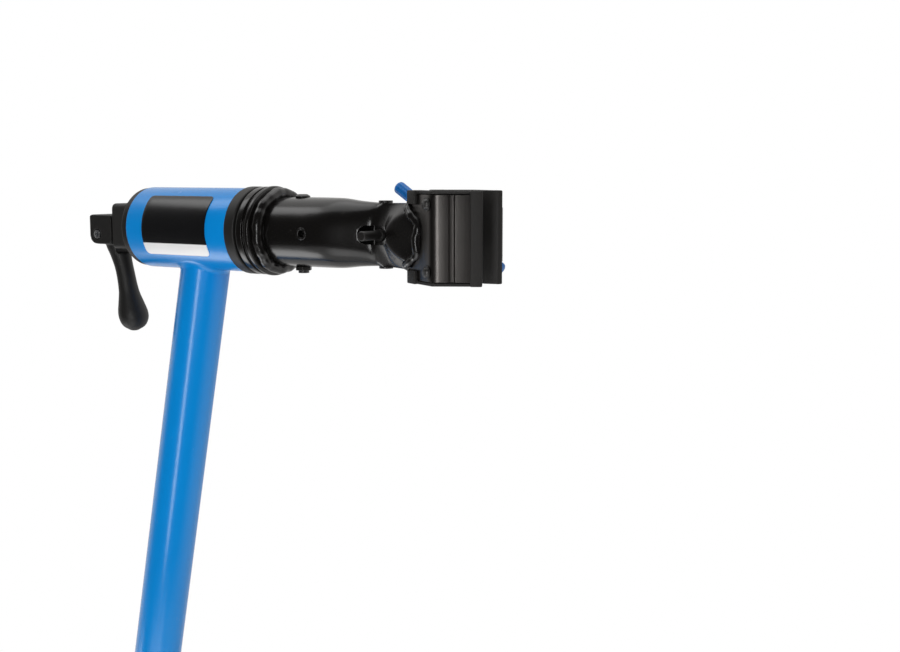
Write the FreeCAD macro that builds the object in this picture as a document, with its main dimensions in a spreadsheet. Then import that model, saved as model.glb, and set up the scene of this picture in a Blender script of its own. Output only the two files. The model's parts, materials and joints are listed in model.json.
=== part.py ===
import FreeCAD, Part
import os
import Sketcher

# Folding bicycle repair stand: a leaning telescopic mast with a turning clamp head on top.
# Two front legs fold like an umbrella and the foot of the mast is the third foot.
# Frame: millimetres, +Z up, the arm reaches along +X, +Y points away from the screw tip.
# Origin: the point of the floor where the axis of the mast meets it.

# Every size below is one number with its own name, and goes to its own cell of the sheet.

# Mast and head
mast_lean = 11.2
mast_reach = 1356.0
lower_od = 44.45
lower_wall = 1.5
lower_start = 15.0
lower_end = 943.0
upper_od = 38.1
upper_wall = 1.65
upper_start = 725.0
plug_drop = 15.0
plug_spigot = 25.0
slide_gap = 0.1
slit_width = 3.0
slit_length = 40.0
head_od = 63.5
head_wall = 3.2
head_rear = 59.8
head_front = 42.6
weld_rise = 13.0
weld_sink = 9.0
weld_flare = 3.2
# Mast foot
boot_r = 29.0
boot_drop = 14.0
boot_top = 78.0
boot_edge = 4.0
# Height clamp collar at the top of the lower tube
collar_r = 30.0
collar_low = 897.0
collar_top = 953.0
collar_lip = 945.0
collar_edge = 2.5
lip_gap = 0.3
ear_out = 56.0
ear_in = 25.0
ear_half = 11.0
ear_rise = 15.0
clamp_x = 46.0
clamp_z = 920.0
clamp_bolt_r = 3.0
clamp_hole_r = 3.2
bolt_head_r = 5.8
bolt_head_t = 4.0
cam_y = 19.0
cam_r = 6.1
cam_pin_r = 4.0
cam_pin_half = 11.0
cam_seat_y = 12.6
cam_slot_half = 3.6
cam_slot_r = 13.0
grip_half = 10.0
grip_in_y = 32.0
grip_out_y = 41.0
grip_end_x = 34.0
# Leg collar, legs and struts
leg_angle = 65.0
leg_spread = 33.8
leg_hinge_z = 457.0
leg_hinge_r = 42.0
leg_od = 31.75
leg_wall = 1.5
leg_tube_start = 65.0
leg_tube_short = 35.0
leg_collar_drop = 18.0
leg_collar_rise = 60.0
leg_clamp_rise = 38.0
cheek_gap = 6.4
cheek_t = 5.0
cheek_reach = 11.0
cheek_half = 13.0
hinge_pin_r = 4.0
pin_head_r = 6.0
pin_head_t = 2.5
pin_fit = 0.1
tongue_t = 12.0
tongue_half = 11.0
tongue_end = 95.0
foot_r = 20.0
foot_back = 87.0
foot_toe = 13.0
strut_pitch = 300.0
strut_in = 17.0
strut_t = 5.0
strut_half = 11.0
tab_in = 11.5
tab_t = 5.0
tab_rise = 18.0
tab_low = 9.0
tab_slot_r = 4.3
bracket_half = 18.0
# Bearings and lock of the head
spindle_r = 15.0
spindle_rear = 58.0
front_sleeve = 30.0
front_ring_x = 52.4
ring_r = 33.0
rear_sleeve = 30.0
rear_ring_x = 65.8
rear_ring_r = 31.0
rod_r = 4.0
rod_hole_r = 4.5
rod_end = 104.0
rod_depth = 28.0
rod_nut_r = 7.3
rod_nut_t = 5.8
saddle_end = 92.7
saddle_half_y = 15.0
saddle_half_z = 18.0
saddle_round = 5.0
badge_t = 0.6
badge_gap = 0.05
badge_rear = 42.0
badge_front = 23.4
badge_low = 36.9
badge_top = 52.3
pin_x = 110.7
pin_z = 6.7
pin_r = 3.5
eye_end = 117.5
eye_front = 93.5
eye_plate = 3.2
eye_half = 8.5
eye_low = 12.8
eye_top = 9.0
lever_back = 118.9
lever_top = 9.3
lever_low = 14.4
lever_corner = 2.5
lever_sweep = 17.6
lever_half = 9.0
lever_chin = 8.0
lever_chin_run = 5.6
lever_root_len = 16.0
lever_root_t = 7.0
lever_root_back = 1.5
lever_root_drop = 14.0
lever_cheek = 6.0
lever_root_r = 11.8
lever_reach = 79.0
# Arm
washer_end = 54.3
washer_r = 31.0
flange_ring = 60.2
flange_groove = 63.8
flange_groove_r = 31.8
flange_r = 33.5
flange_rim = 66.6
flange_end = 74.5
flange_round = 1.6
ring_weld = 3.5
ring_weld_x = 71.0
ring_weld_r = 27.0
arm_od = 50.8
arm_wall = 2.2
arm_round_end = 128.0
pinch_start = 155.0
pinch_end = 177.0
pinch_y = 14.0
pinch_z = 22.5
pinch_round = 13.2
arm_end = 193.0
arm_end_y = 16.0
end_plate_t = 3.0
end_plate_front = 17.0
end_plate_back = 15.5
slot_half = 12.5
slot_r = 6.7
slot_x = 165.5
rear_slot_low = 84.0
rear_slot_high = 126.0
rear_slot_half = 20.5
stop_pin_x = 110.3
stop_pin_r = 4.5
stop_pin_bore = 2.75
stop_pin_len = 12.0
# Jaws
jaw_x = 225.0
jaw_tilt = 30.0
jaw_y = 2.94
grip_r = 16.5
steel_t = 3.0
rubber_t = 5.0
steel_half = 29.5
rubber_half = 31.75
steel_right = 23.8
rubber_right = 29.4
rubber_left = 27.8
hook_left = 18.0
wrap_t = 2.5
lip_run = 7.0
lip_t = 3.5
notch_z = 22.5
moving_left = 22.0
rivet_t = 5.6
rivet_z = 22.7
rivet_r = 3.6
rivet_h = 2.6
rivet_shank = 2.4
# Jaw lever and clamp screw
pivot_x = 92.0
pivot_r = 4.0
pivot_head_r = 5.5
pivot_head_t = 2.3
pivot_nut_r = 6.3
pivot_nut_t = 3.0
sleeve_r = 7.0
bar_half = 19.0
bar_t = 3.0
eye_r = 11.0
eye_dx = 8.25
eye_dy = 5.65
bar_in_x = 125.3
bar_out_x = 110.7
bar_in_y = 31.0
bar_out_y = 45.0
bar_step_x = 193.0
bar_cradle = 24.0
bar_tip = 18.0
window_half = 13.0
screw_x = 166.6
screw_r = 4.9
screw_tip = 30.0
tip_edge = 1.5
nut_r = 8.5
nut_half = 13.5
nut_pin_r = 5.0
nut_pin_half = 24.0
bore_gap = 0.2
block_y = 38.0
block_r = 8.0
block_half = 15.6
block_pin_r = 4.0
block_pin_half = 19.5
block_slot = 1.1
block_slot_r = 4.35
thrust_gap = 0.3
thrust_t = 3.9
neck_r = 7.0
hub_start = 77.0
hub_r = 9.0
hub_t = 20.0
hub_edge = 1.5
tbar_tilt = 33.5
tbar_r = 4.0
tbar_half = 54.5
tbar_shift = 3.0
tip_r = 5.15
tip_len = 24.0
tip_over = 3.0

sizes = {name: value for name, value in globals().items() if type(value) is float}
doc = FreeCAD.newDocument("RepairStand")
sheet = doc.addObject("Spreadsheet::Sheet", "Dim")
for row, name in enumerate(sizes, 1):
    sheet.set("A%d" % row, name)
    sheet.set("B%d" % row, str(sizes[name]))
    sheet.setAlias("B%d" % row, name)
doc.recompute()

X_AXIS = "1; 0; 0"
Y_AXIS = "0; 1; 0"
Z_AXIS = "0; 0; 1"
nodes = []


def at(x="0", y="0", z="0", axis=Z_AXIS, angle="0"):
    """Text of a placement: a shift to x, y, z after a turn about the axis."""
    spot = "create(<<vector>>; %s; %s; %s)" % (x, y, z)
    turn = "create(<<rotation>>; create(<<vector>>; %s); %s)" % (axis, angle)
    return "create(<<placement>>; %s; %s)" % (spot, turn)


# Frames of the stand: the mast leans about Y, the head stays level, legs spread about the mast.
MAST = at(axis=Y_AXIS, angle="Dim.mast_lean")
HEAD = at("Dim.mast_reach * sin(Dim.mast_lean)", "0", "Dim.mast_reach * cos(Dim.mast_lean)")
BRACKET_Z = "(Dim.leg_hinge_z - 2 * Dim.strut_pitch * cos(Dim.leg_angle))"
LEAN_OUT = "cos(Dim.leg_spread) * sin(Dim.mast_lean)"
HINGE_DROP = "(Dim.leg_hinge_z * cos(Dim.mast_lean) - Dim.leg_hinge_r * " + LEAN_OUT + ")"
LEG_DROP = "(cos(Dim.leg_angle) * cos(Dim.mast_lean) + sin(Dim.leg_angle) * " + LEAN_OUT + ")"
LEG_FLOOR = "(" + HINGE_DROP + " / " + LEG_DROP + ")"


def spoke(height, side):
    """Frame on the mast at a height, with X pointing out over the leg of that side."""
    return MAST + " * " + at("0", "0", height, Z_AXIS, "%d * Dim.leg_spread" % side)


def leg_frame(side):
    """Origin on the hinge of the leg, X along the leg to its foot."""
    tilt = at("Dim.leg_hinge_r", "0", "0", Y_AXIS, "90 - Dim.leg_angle")
    return spoke("Dim.leg_hinge_z", side) + " * " + tilt


def strut_frame(side):
    """Origin on the lower pivot of the strut, X along the strut to the leg."""
    tilt = at("Dim.leg_hinge_r", "0", "0", Y_AXIS, "Dim.leg_angle - 90")
    return spoke(BRACKET_Z, side) + " * " + tilt


def put(thing, place):
    """Place an object by expression."""
    thing.setExpression("Placement", place)
    return thing


def body(name):
    """An empty body."""
    return doc.addObject("PartDesign::Body", name)


def sketch(owner, role, offset):
    """A sketch on one origin plane of its body, moved along the normal of that plane."""
    made = owner.newObject("Sketcher::SketchObject", owner.Name + "_Sketch")
    plane = [part for part in owner.Origin.OriginFeatures if part.Role == role][0]
    made.AttachmentSupport = [(plane, "")]
    made.MapMode = "FlatFace"
    made.setExpression("AttachmentOffset.Base.z", offset)
    return made


def polygon(owner, role, points, offset="0"):
    """A closed outline whose corners are bound to the sheet."""
    made = sketch(owner, role, offset)
    spots = [[float(made.evalExpression(text)) for text in point] for point in points]
    count = len(points)
    for i in range(count):
        here = FreeCAD.Vector(spots[i][0], spots[i][1], 0)
        after = FreeCAD.Vector(spots[(i + 1) % count][0], spots[(i + 1) % count][1], 0)
        made.addGeometry(Part.LineSegment(here, after), False)
    for i in range(count):
        made.addConstraint(Sketcher.Constraint("Coincident", i, 2, (i + 1) % count, 1))
    for i in range(count):
        for k, kind in ((0, "DistanceX"), (1, "DistanceY")):
            index = made.addConstraint(Sketcher.Constraint(kind, -1, 1, i, 1, spots[i][k]))
            made.setExpression("Constraints[%d]" % index, points[i][k])
    return made


def circles(owner, role, rounds, offset="0"):
    """Circles with centre and radius bound to the sheet."""
    made = sketch(owner, role, offset)
    for x, y, radius in rounds:
        values = [float(made.evalExpression(text)) for text in (x, y, radius)]
        centre = FreeCAD.Vector(values[0], values[1], 0)
        shape = made.addGeometry(Part.Circle(centre, FreeCAD.Vector(0, 0, 1), values[2]), False)
        for kind, text, value in (("DistanceX", x, values[0]), ("DistanceY", y, values[1])):
            index = made.addConstraint(Sketcher.Constraint(kind, -1, 1, shape, 3, value))
            made.setExpression("Constraints[%d]" % index, text)
        index = made.addConstraint(Sketcher.Constraint("Radius", shape, values[2]))
        made.setExpression("Constraints[%d]" % index, radius)
    return made


def pad(owner, profile, length, midplane=False):
    """A pad of a sketch."""
    made = owner.newObject("PartDesign::Pad", owner.Name + "_Pad")
    made.Profile = profile
    made.Midplane = midplane
    made.setExpression("Length", length)
    return made


def pocket(owner, profile, length, midplane=True):
    """A pocket of a sketch, to both sides of its plane unless told otherwise."""
    made = owner.newObject("PartDesign::Pocket", owner.Name + "_Pocket")
    made.Profile = profile
    made.Midplane = midplane
    made.setExpression("Length", length)
    return made


def turned(name, points, axis="V_Axis"):
    """A body of revolution from an outline in X and Z, about Z or, with H_Axis, about X."""
    owner = body(name)
    profile = polygon(owner, "XZ_Plane", points)
    made = owner.newObject("PartDesign::Revolution", name + "_Turn")
    made.Profile = profile
    made.ReferenceAxis = (profile, [axis])
    made.Angle = 360
    return owner


def slab(name, role, points, thickness, offset="0", midplane=True):
    """A body padded from one outline."""
    owner = body(name)
    pad(owner, polygon(owner, role, points, offset), thickness, midplane)
    return owner


def rod(name, radius, length, place=None):
    """A cylinder along Z."""
    made = doc.addObject("Part::Cylinder", name)
    made.setExpression("Radius", radius)
    made.setExpression("Height", length)
    if place:
        put(made, place)
    return made


def block(name, length, width, height, place):
    """A box from one corner."""
    made = doc.addObject("Part::Box", name)
    made.setExpression("Length", length)
    made.setExpression("Width", width)
    made.setExpression("Height", height)
    return put(made, place)


def hexagon(name, radius, height, place):
    """A six-sided prism along Z."""
    made = doc.addObject("Part::Prism", name)
    made.Polygon = 6
    made.setExpression("Circumradius", radius)
    made.setExpression("Height", height)
    return put(made, place)


def fuse(name, parts):
    """One solid from several."""
    made = doc.addObject("Part::MultiFuse", name)
    made.Shapes = parts
    made.Refine = True
    return made


def cut(name, base, tools):
    """The base without its tools."""
    tool = tools[0] if len(tools) == 1 else fuse(name + "_Tools", tools)
    made = doc.addObject("Part::Cut", name)
    made.Base = base
    made.Tool = tool
    made.Refine = True
    return made


def common(name, first, second):
    """What two solids share."""
    made = doc.addObject("Part::Common", name)
    made.Base = first
    made.Tool = second
    return made


def node(thing, label, place=None):
    """Name a finished sub-part and give it its frame."""
    thing.Label = label
    if place:
        put(thing, place)
    nodes.append(thing)
    return thing


def along_x(x="0", y="0", z="0"):
    """Placement that lays a cylinder along +X."""
    return at(x, y, z, Y_AXIS, "90")


def along_y(x="0", y="0", z="0"):
    """Placement that lays a cylinder along +Y."""
    return at(x, y, z, X_AXIS, "-90")


def above_floor(name, thing):
    """Trim a rubber foot level with the floor."""
    slice_box = block(name + "_Floor", "4000", "4000", "4000", at("-2000", "-2000", "0"))
    return common(name, thing, slice_box)


def make_lower_mast():
    """Lower tube with the slit that the height collar closes, and its rubber foot."""
    tube = body("LowerTube")
    ring = [("0", "0", "Dim.lower_od / 2"), ("0", "0", "Dim.lower_od / 2 - Dim.lower_wall")]
    pad(tube, circles(tube, "XY_Plane", ring, "Dim.lower_start"), "Dim.lower_end - Dim.lower_start")
    low = "Dim.lower_end - Dim.slit_length"
    high = "Dim.lower_end + 1"
    slit = [("-Dim.lower_od", low), ("0", low), ("0", high), ("-Dim.lower_od", high)]
    pocket(tube, polygon(tube, "XZ_Plane", slit), "Dim.slit_width")
    node(tube, "lower_mast_tube", MAST)
    boot = turned("BootForm", [
        ("0", "-Dim.boot_drop"),
        ("Dim.boot_r", "-Dim.boot_drop"),
        ("Dim.boot_r", "Dim.boot_top - Dim.boot_edge"),
        ("Dim.boot_r - Dim.boot_edge", "Dim.boot_top"),
        ("Dim.lower_od / 2", "Dim.boot_top"),
        ("Dim.lower_od / 2", "Dim.lower_start"),
        ("0", "Dim.lower_start"),
    ])
    put(boot, MAST)
    node(above_floor("MastFoot", boot), "mast_foot")


def clamp_ring(name, points, middle):
    """A split collar: ring, two ears with a bolt hole, and the slit between them."""
    ring = turned(name + "_Ring", points)
    width = "2 * Dim.ear_half"
    low = middle + " - Dim.ear_rise"
    ears = block(name + "_Ears", "Dim.ear_out - Dim.ear_in", width, "2 * Dim.ear_rise",
                 at("-Dim.ear_out", "-Dim.ear_half", low))
    slit = block(name + "_Slit", "Dim.ear_out", "Dim.slit_width", "4 * Dim.collar_r",
                 at("-Dim.ear_out - 1", "-Dim.slit_width / 2", middle + " - 2 * Dim.collar_r"))
    hole = rod(name + "_Hole", "Dim.clamp_hole_r", "4 * Dim.ear_half",
               along_y("-Dim.clamp_x", "-2 * Dim.ear_half", middle))
    return ring, ears, slit, hole


def clamp_bolt(name, label, middle):
    """Cross bolt of a collar with its head, its cam seat and the upright pin of the lever."""
    shank = rod(name + "_Shank", "Dim.clamp_bolt_r", "Dim.cam_y + Dim.ear_half",
                along_y("-Dim.clamp_x", "-Dim.cam_y", middle))
    head = hexagon(name + "_Head", "Dim.bolt_head_r", "Dim.bolt_head_t",
                   along_y("-Dim.clamp_x", "Dim.ear_half", middle))
    pin = rod(name + "_Pin", "Dim.cam_pin_r", "2 * Dim.cam_pin_half",
              at("-Dim.clamp_x", "-Dim.cam_y", middle + " - Dim.cam_pin_half"))
    seat = rod(name + "_Seat", "Dim.ear_rise - 4", "Dim.cam_seat_y - Dim.ear_half",
               along_y("-Dim.clamp_x", "-Dim.cam_seat_y", middle))
    node(fuse(name, [shank, head, pin, seat]), label, MAST)


def clamp_lever(name, label, middle):
    """Quick-release lever: a round cam on the upright pin and a grip along the collar."""
    cam = rod(name + "_Cam", "Dim.cam_r", "2 * Dim.grip_half",
              at("-Dim.clamp_x", "-Dim.cam_y", middle + " - Dim.grip_half"))
    grip = slab(name + "_Grip", "XY_Plane", [
        ("-Dim.clamp_x + 5.5", "-Dim.cam_y + 1.5"),
        ("-Dim.collar_r + 8", "-Dim.grip_in_y + 0.5"),
        ("Dim.grip_end_x", "-Dim.grip_in_y - 1"),
        ("Dim.grip_end_x + 3", "-Dim.grip_out_y + 4"),
        ("Dim.grip_end_x", "-Dim.grip_out_y"),
        ("-Dim.collar_r + 5", "-Dim.grip_out_y + 1"),
        ("-Dim.clamp_x - 5", "-Dim.cam_y - 3.5"),
    ], "2 * Dim.grip_half", middle)
    slot = rod(name + "_Slot", "Dim.cam_slot_r", "2 * Dim.cam_slot_half",
               at("-Dim.clamp_x", "-Dim.cam_y", middle + " - Dim.cam_slot_half"))
    bore = rod(name + "_Bore", "Dim.cam_pin_r + Dim.pin_fit", "4 * Dim.grip_half",
               at("-Dim.clamp_x", "-Dim.cam_y", middle + " - 2 * Dim.grip_half"))
    node(cut(name, fuse(name + "_Whole", [cam, grip]), [slot, bore]), label, MAST)


def make_height_clamp():
    """Collar, bushing, bolt and lever that lock the telescopic mast."""
    ring, ears, slit, hole = clamp_ring("HeightCollar", [
        ("Dim.lower_od / 2", "Dim.collar_low"),
        ("Dim.collar_r - Dim.collar_edge", "Dim.collar_low"),
        ("Dim.collar_r", "Dim.collar_low + Dim.collar_edge"),
        ("Dim.collar_r", "Dim.collar_top - Dim.collar_edge"),
        ("Dim.collar_r - Dim.collar_edge", "Dim.collar_top"),
        ("Dim.upper_od / 2 + Dim.lip_gap", "Dim.collar_top"),
        ("Dim.upper_od / 2 + Dim.lip_gap", "Dim.collar_lip"),
        ("Dim.lower_od / 2", "Dim.collar_lip"),
    ], "Dim.clamp_z")
    node(cut("HeightCollar", fuse("HeightCollar_Whole", [ring, ears]), [slit, hole]),
         "height_collar", MAST)
    node(turned("HeightBushing", [
        ("Dim.upper_od / 2 + Dim.slide_gap", "Dim.lower_end - Dim.slit_length"),
        ("Dim.lower_od / 2 - Dim.lower_wall", "Dim.lower_end - Dim.slit_length"),
        ("Dim.lower_od / 2 - Dim.lower_wall", "Dim.lower_end"),
        ("Dim.lower_od / 2", "Dim.lower_end"),
        ("Dim.lower_od / 2", "Dim.collar_lip"),
        ("Dim.upper_od / 2 + Dim.slide_gap", "Dim.collar_lip"),
    ]), "height_bushing", MAST)
    clamp_bolt("HeightBolt", "height_clamp_bolt", "Dim.clamp_z")
    clamp_lever("HeightLever", "height_lever", "Dim.clamp_z")


def make_strut_bracket():
    """Welded ring low on the mast with a slotted tab for the foot of each strut."""
    ring = turned("Bracket_Ring", [
        ("Dim.lower_od / 2", BRACKET_Z + " - Dim.bracket_half"),
        ("Dim.collar_r - 3", BRACKET_Z + " - Dim.bracket_half"),
        ("Dim.collar_r - 3", BRACKET_Z + " + Dim.bracket_half"),
        ("Dim.lower_od / 2", BRACKET_Z + " + Dim.bracket_half"),
    ])
    solids = [put(ring, MAST)]
    slots = []
    for side in (1, -1):
        near = "Dim.tab_in + Dim.tab_t" if side == 1 else "-Dim.tab_in"
        name = "Bracket_Tab%d" % (side + 1)
        tab = slab(name, "XZ_Plane", [
            ("Dim.collar_r - 7", "-Dim.tab_low"),
            ("Dim.leg_hinge_r + 9", "-Dim.tab_low"),
            ("Dim.leg_hinge_r + 13", "-Dim.tab_low + 4"),
            ("Dim.leg_hinge_r + 13", "Dim.tab_rise - 8"),
            ("Dim.leg_hinge_r + 3", "Dim.tab_rise"),
            ("Dim.collar_r - 7", "Dim.tab_rise"),
        ], "Dim.tab_t", "-(" + near + ")", False)
        solids.append(put(tab, spoke(BRACKET_Z, side)))
        reach = spoke(BRACKET_Z, side) + " * "
        slots.append(rod(name + "_Hole", "Dim.tab_slot_r", "60",
                         reach + along_y("Dim.leg_hinge_r", "-30", "0")))
        slots.append(block(name + "_Mouth", "2 * Dim.tab_slot_r", "60", "2 * Dim.tab_low",
                           reach + at("Dim.leg_hinge_r - Dim.tab_slot_r", "-30", "-2 * Dim.tab_low")))
    node(cut("StrutBracket", fuse("Bracket_Whole", solids), slots), "strut_bracket")


def make_leg_collar():
    """Sliding collar of the legs, with two pairs of cheeks, their pins, and its clamp."""
    low = "Dim.leg_hinge_z - Dim.leg_collar_drop"
    high = "Dim.leg_hinge_z + Dim.leg_collar_rise"
    middle = "Dim.leg_hinge_z + Dim.leg_clamp_rise"
    inside = "Dim.lower_od / 2 + Dim.slide_gap"
    ring, ears, slit, hole = clamp_ring("LegCollar", [
        (inside, low),
        ("Dim.collar_r - Dim.collar_edge", low),
        ("Dim.collar_r", low + " + Dim.collar_edge"),
        ("Dim.collar_r", high + " - Dim.collar_edge"),
        ("Dim.collar_r - Dim.collar_edge", high),
        (inside, high),
    ], middle)
    solids = [put(ring, MAST), put(ears, MAST + " * " + at("-Dim.ear_out", "-Dim.ear_half",
                                                          middle + " - Dim.ear_rise"))]
    tools = [put(slit, MAST + " * " + at("-Dim.ear_out - 1", "-Dim.slit_width / 2",
                                         middle + " - 2 * Dim.collar_r")),
             put(hole, MAST + " * " + along_y("-Dim.clamp_x", "-2 * Dim.ear_half", middle))]
    for side in (1, -1):
        for face in (1, -1):
            near = "Dim.cheek_gap + Dim.cheek_t" if face == 1 else "-Dim.cheek_gap"
            name = "Cheek%d%d" % (side + 1, face + 1)
            cheek = slab(name, "XZ_Plane", [
                ("Dim.collar_r - 5", "-Dim.cheek_half"),
                ("Dim.leg_hinge_r + 3", "-Dim.cheek_half"),
                ("Dim.leg_hinge_r + Dim.cheek_reach", "-Dim.cheek_half + 8"),
                ("Dim.leg_hinge_r + Dim.cheek_reach", "Dim.cheek_half - 8"),
                ("Dim.leg_hinge_r + 3", "Dim.cheek_half"),
                ("Dim.collar_r - 5", "Dim.cheek_half"),
            ], "Dim.cheek_t", "-(" + near + ")", False)
            solids.append(put(cheek, spoke("Dim.leg_hinge_z", side)))
        reach = spoke("Dim.leg_hinge_z", side) + " * "
        tools.append(rod("CheekHole%d" % (side + 1), "Dim.hinge_pin_r", "60",
                         reach + along_y("Dim.leg_hinge_r", "-30", "0")))
    node(cut("LegCollar", fuse("LegCollar_Whole", solids), tools), "leg_collar")
    clamp_bolt("LegBolt", "leg_clamp_bolt", middle)
    clamp_lever("LegLever", "leg_collar_lever", middle)


def make_leg(side, label):
    """One leg: hinge pin, steel tongue, tube, rubber foot, strut bolt and strut."""
    tag = label.capitalize()
    frame = leg_frame(side)
    outside = "(Dim.cheek_gap + Dim.cheek_t)"
    reach = spoke("Dim.leg_hinge_z", side) + " * "
    shank = rod(tag + "Pin_Shank", "Dim.hinge_pin_r", "2 * " + outside,
                along_y("Dim.leg_hinge_r", "-" + outside, "0"))
    first = rod(tag + "Pin_Head", "Dim.pin_head_r", "Dim.pin_head_t",
                along_y("Dim.leg_hinge_r", outside, "0"))
    second = rod(tag + "Pin_Tail", "Dim.pin_head_r", "Dim.pin_head_t",
                 along_y("Dim.leg_hinge_r", "-" + outside + " - Dim.pin_head_t", "0"))
    node(fuse(tag + "Pin", [shank, first, second]), label + "_hinge_pin", reach[:-3])
    end = slab(tag + "Tongue_Bar", "XZ_Plane", [
        ("0", "-Dim.tongue_half"),
        ("Dim.tongue_end", "-Dim.tongue_half"),
        ("Dim.tongue_end", "Dim.tongue_half"),
        ("0", "Dim.tongue_half"),
    ], "Dim.tongue_t")
    cap = rod(tag + "Tongue_Round", "Dim.tongue_half", "Dim.tongue_t", along_y("0", "-Dim.tongue_t / 2", "0"))
    eye = rod(tag + "Tongue_Eye", "Dim.hinge_pin_r + Dim.pin_fit", "2 * Dim.tongue_t",
              along_y("0", "-Dim.tongue_t", "0"))
    node(cut(tag + "Tongue", fuse(tag + "Tongue_Whole", [end, cap]), [eye]), label + "_tongue", frame)
    ring = [("0", "0", "Dim.leg_od / 2"), ("0", "0", "Dim.leg_od / 2 - Dim.leg_wall")]
    tube = body(tag + "Tube")
    length = LEG_FLOOR + " - Dim.leg_tube_short - Dim.leg_tube_start"
    pad(tube, circles(tube, "YZ_Plane", ring, "Dim.leg_tube_start"), length)
    hole = [("Dim.strut_pitch", "0", "Dim.hinge_pin_r")]
    pocket(tube, circles(tube, "XZ_Plane", hole), "2 * Dim.leg_od")
    node(tube, label + "_tube", frame)
    back = LEG_FLOOR + " - Dim.foot_back"
    seat = LEG_FLOOR + " - Dim.leg_tube_short"
    toe = LEG_FLOOR + " + Dim.foot_toe"
    boot = turned(tag + "Foot_Form", [
        (back, "Dim.leg_od / 2"),
        (back, "Dim.foot_r - 2"),
        (back + " + 2", "Dim.foot_r"),
        (toe + " - 3", "Dim.foot_r"),
        (toe, "Dim.foot_r - 3"),
        (toe, "0"),
        (seat, "0"),
        (seat, "Dim.leg_od / 2"),
    ], "H_Axis")
    put(boot, frame)
    node(above_floor(tag + "Foot", boot), label + "_foot")
    inner = "Dim.leg_od / 2"
    outer = "(Dim.strut_in + Dim.strut_t)"
    turn = "-90" if side == 1 else "90"
    bolt_frame = frame + " * " + at("Dim.strut_pitch", "0", "0", X_AXIS, turn)
    shank = rod(tag + "Bolt_Shank", "Dim.hinge_pin_r", inner + " + " + outer, at("0", "0", "-" + inner))
    head = hexagon(tag + "Bolt_Head", "Dim.pin_head_r + 1", "Dim.pin_head_t + 2",
                   at("0", "0", "-" + inner + " - Dim.pin_head_t - 2"))
    washer = rod(tag + "Bolt_Washer", "Dim.pin_head_r + 1", "Dim.strut_in - Dim.thrust_gap - " + inner,
                 at("0", "0", inner))
    nut = hexagon(tag + "Bolt_Nut", "Dim.pin_head_r + 1", "Dim.pin_head_t + 3",
                  at("0", "0", outer + " + Dim.thrust_gap"))
    stub = rod(tag + "Bolt_Stub", "Dim.hinge_pin_r", "3", at("0", "0", outer))
    node(fuse(tag + "Bolt", [shank, head, washer, nut, stub]), label + "_strut_bolt", bolt_frame)
    near = outer if side == 1 else "-Dim.strut_in"
    bar = slab(tag + "Strut_Bar", "XZ_Plane", [
        ("0", "-Dim.strut_half"),
        ("Dim.strut_pitch", "-Dim.strut_half"),
        ("Dim.strut_pitch", "Dim.strut_half"),
        ("0", "Dim.strut_half"),
    ], "Dim.strut_t", "-(" + near + ")", False)
    start = "Dim.strut_in" if side == 1 else "-" + outer
    low_end = rod(tag + "Strut_Low", "Dim.strut_half", "Dim.strut_t", along_y("0", start, "0"))
    top_end = rod(tag + "Strut_Top", "Dim.strut_half", "Dim.strut_t", along_y("Dim.strut_pitch", start, "0"))
    eye = rod(tag + "Strut_Eye", "Dim.hinge_pin_r + Dim.pin_fit", "80",
              along_y("Dim.strut_pitch", "-40", "0"))
    spin = at("0", "0", "0", X_AXIS, turn)
    far_in = "(Dim.tab_in - Dim.thrust_gap)"
    pin = rod(tag + "Strut_Pin", "Dim.hinge_pin_r", outer + " - " + far_in,
              spin + " * " + at("0", "0", far_in))
    pin_in = rod(tag + "Strut_PinIn", "Dim.pin_head_r", "Dim.pin_head_t",
                 spin + " * " + at("0", "0", far_in + " - Dim.pin_head_t"))
    pin_out = rod(tag + "Strut_PinOut", "Dim.pin_head_r", "Dim.pin_head_t",
                  spin + " * " + at("0", "0", outer))
    whole = fuse(tag + "Strut_Whole", [bar, low_end, top_end, pin, pin_in, pin_out])
    node(cut(tag + "Strut", whole, [eye]), label + "_strut", strut_frame(side))


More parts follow.
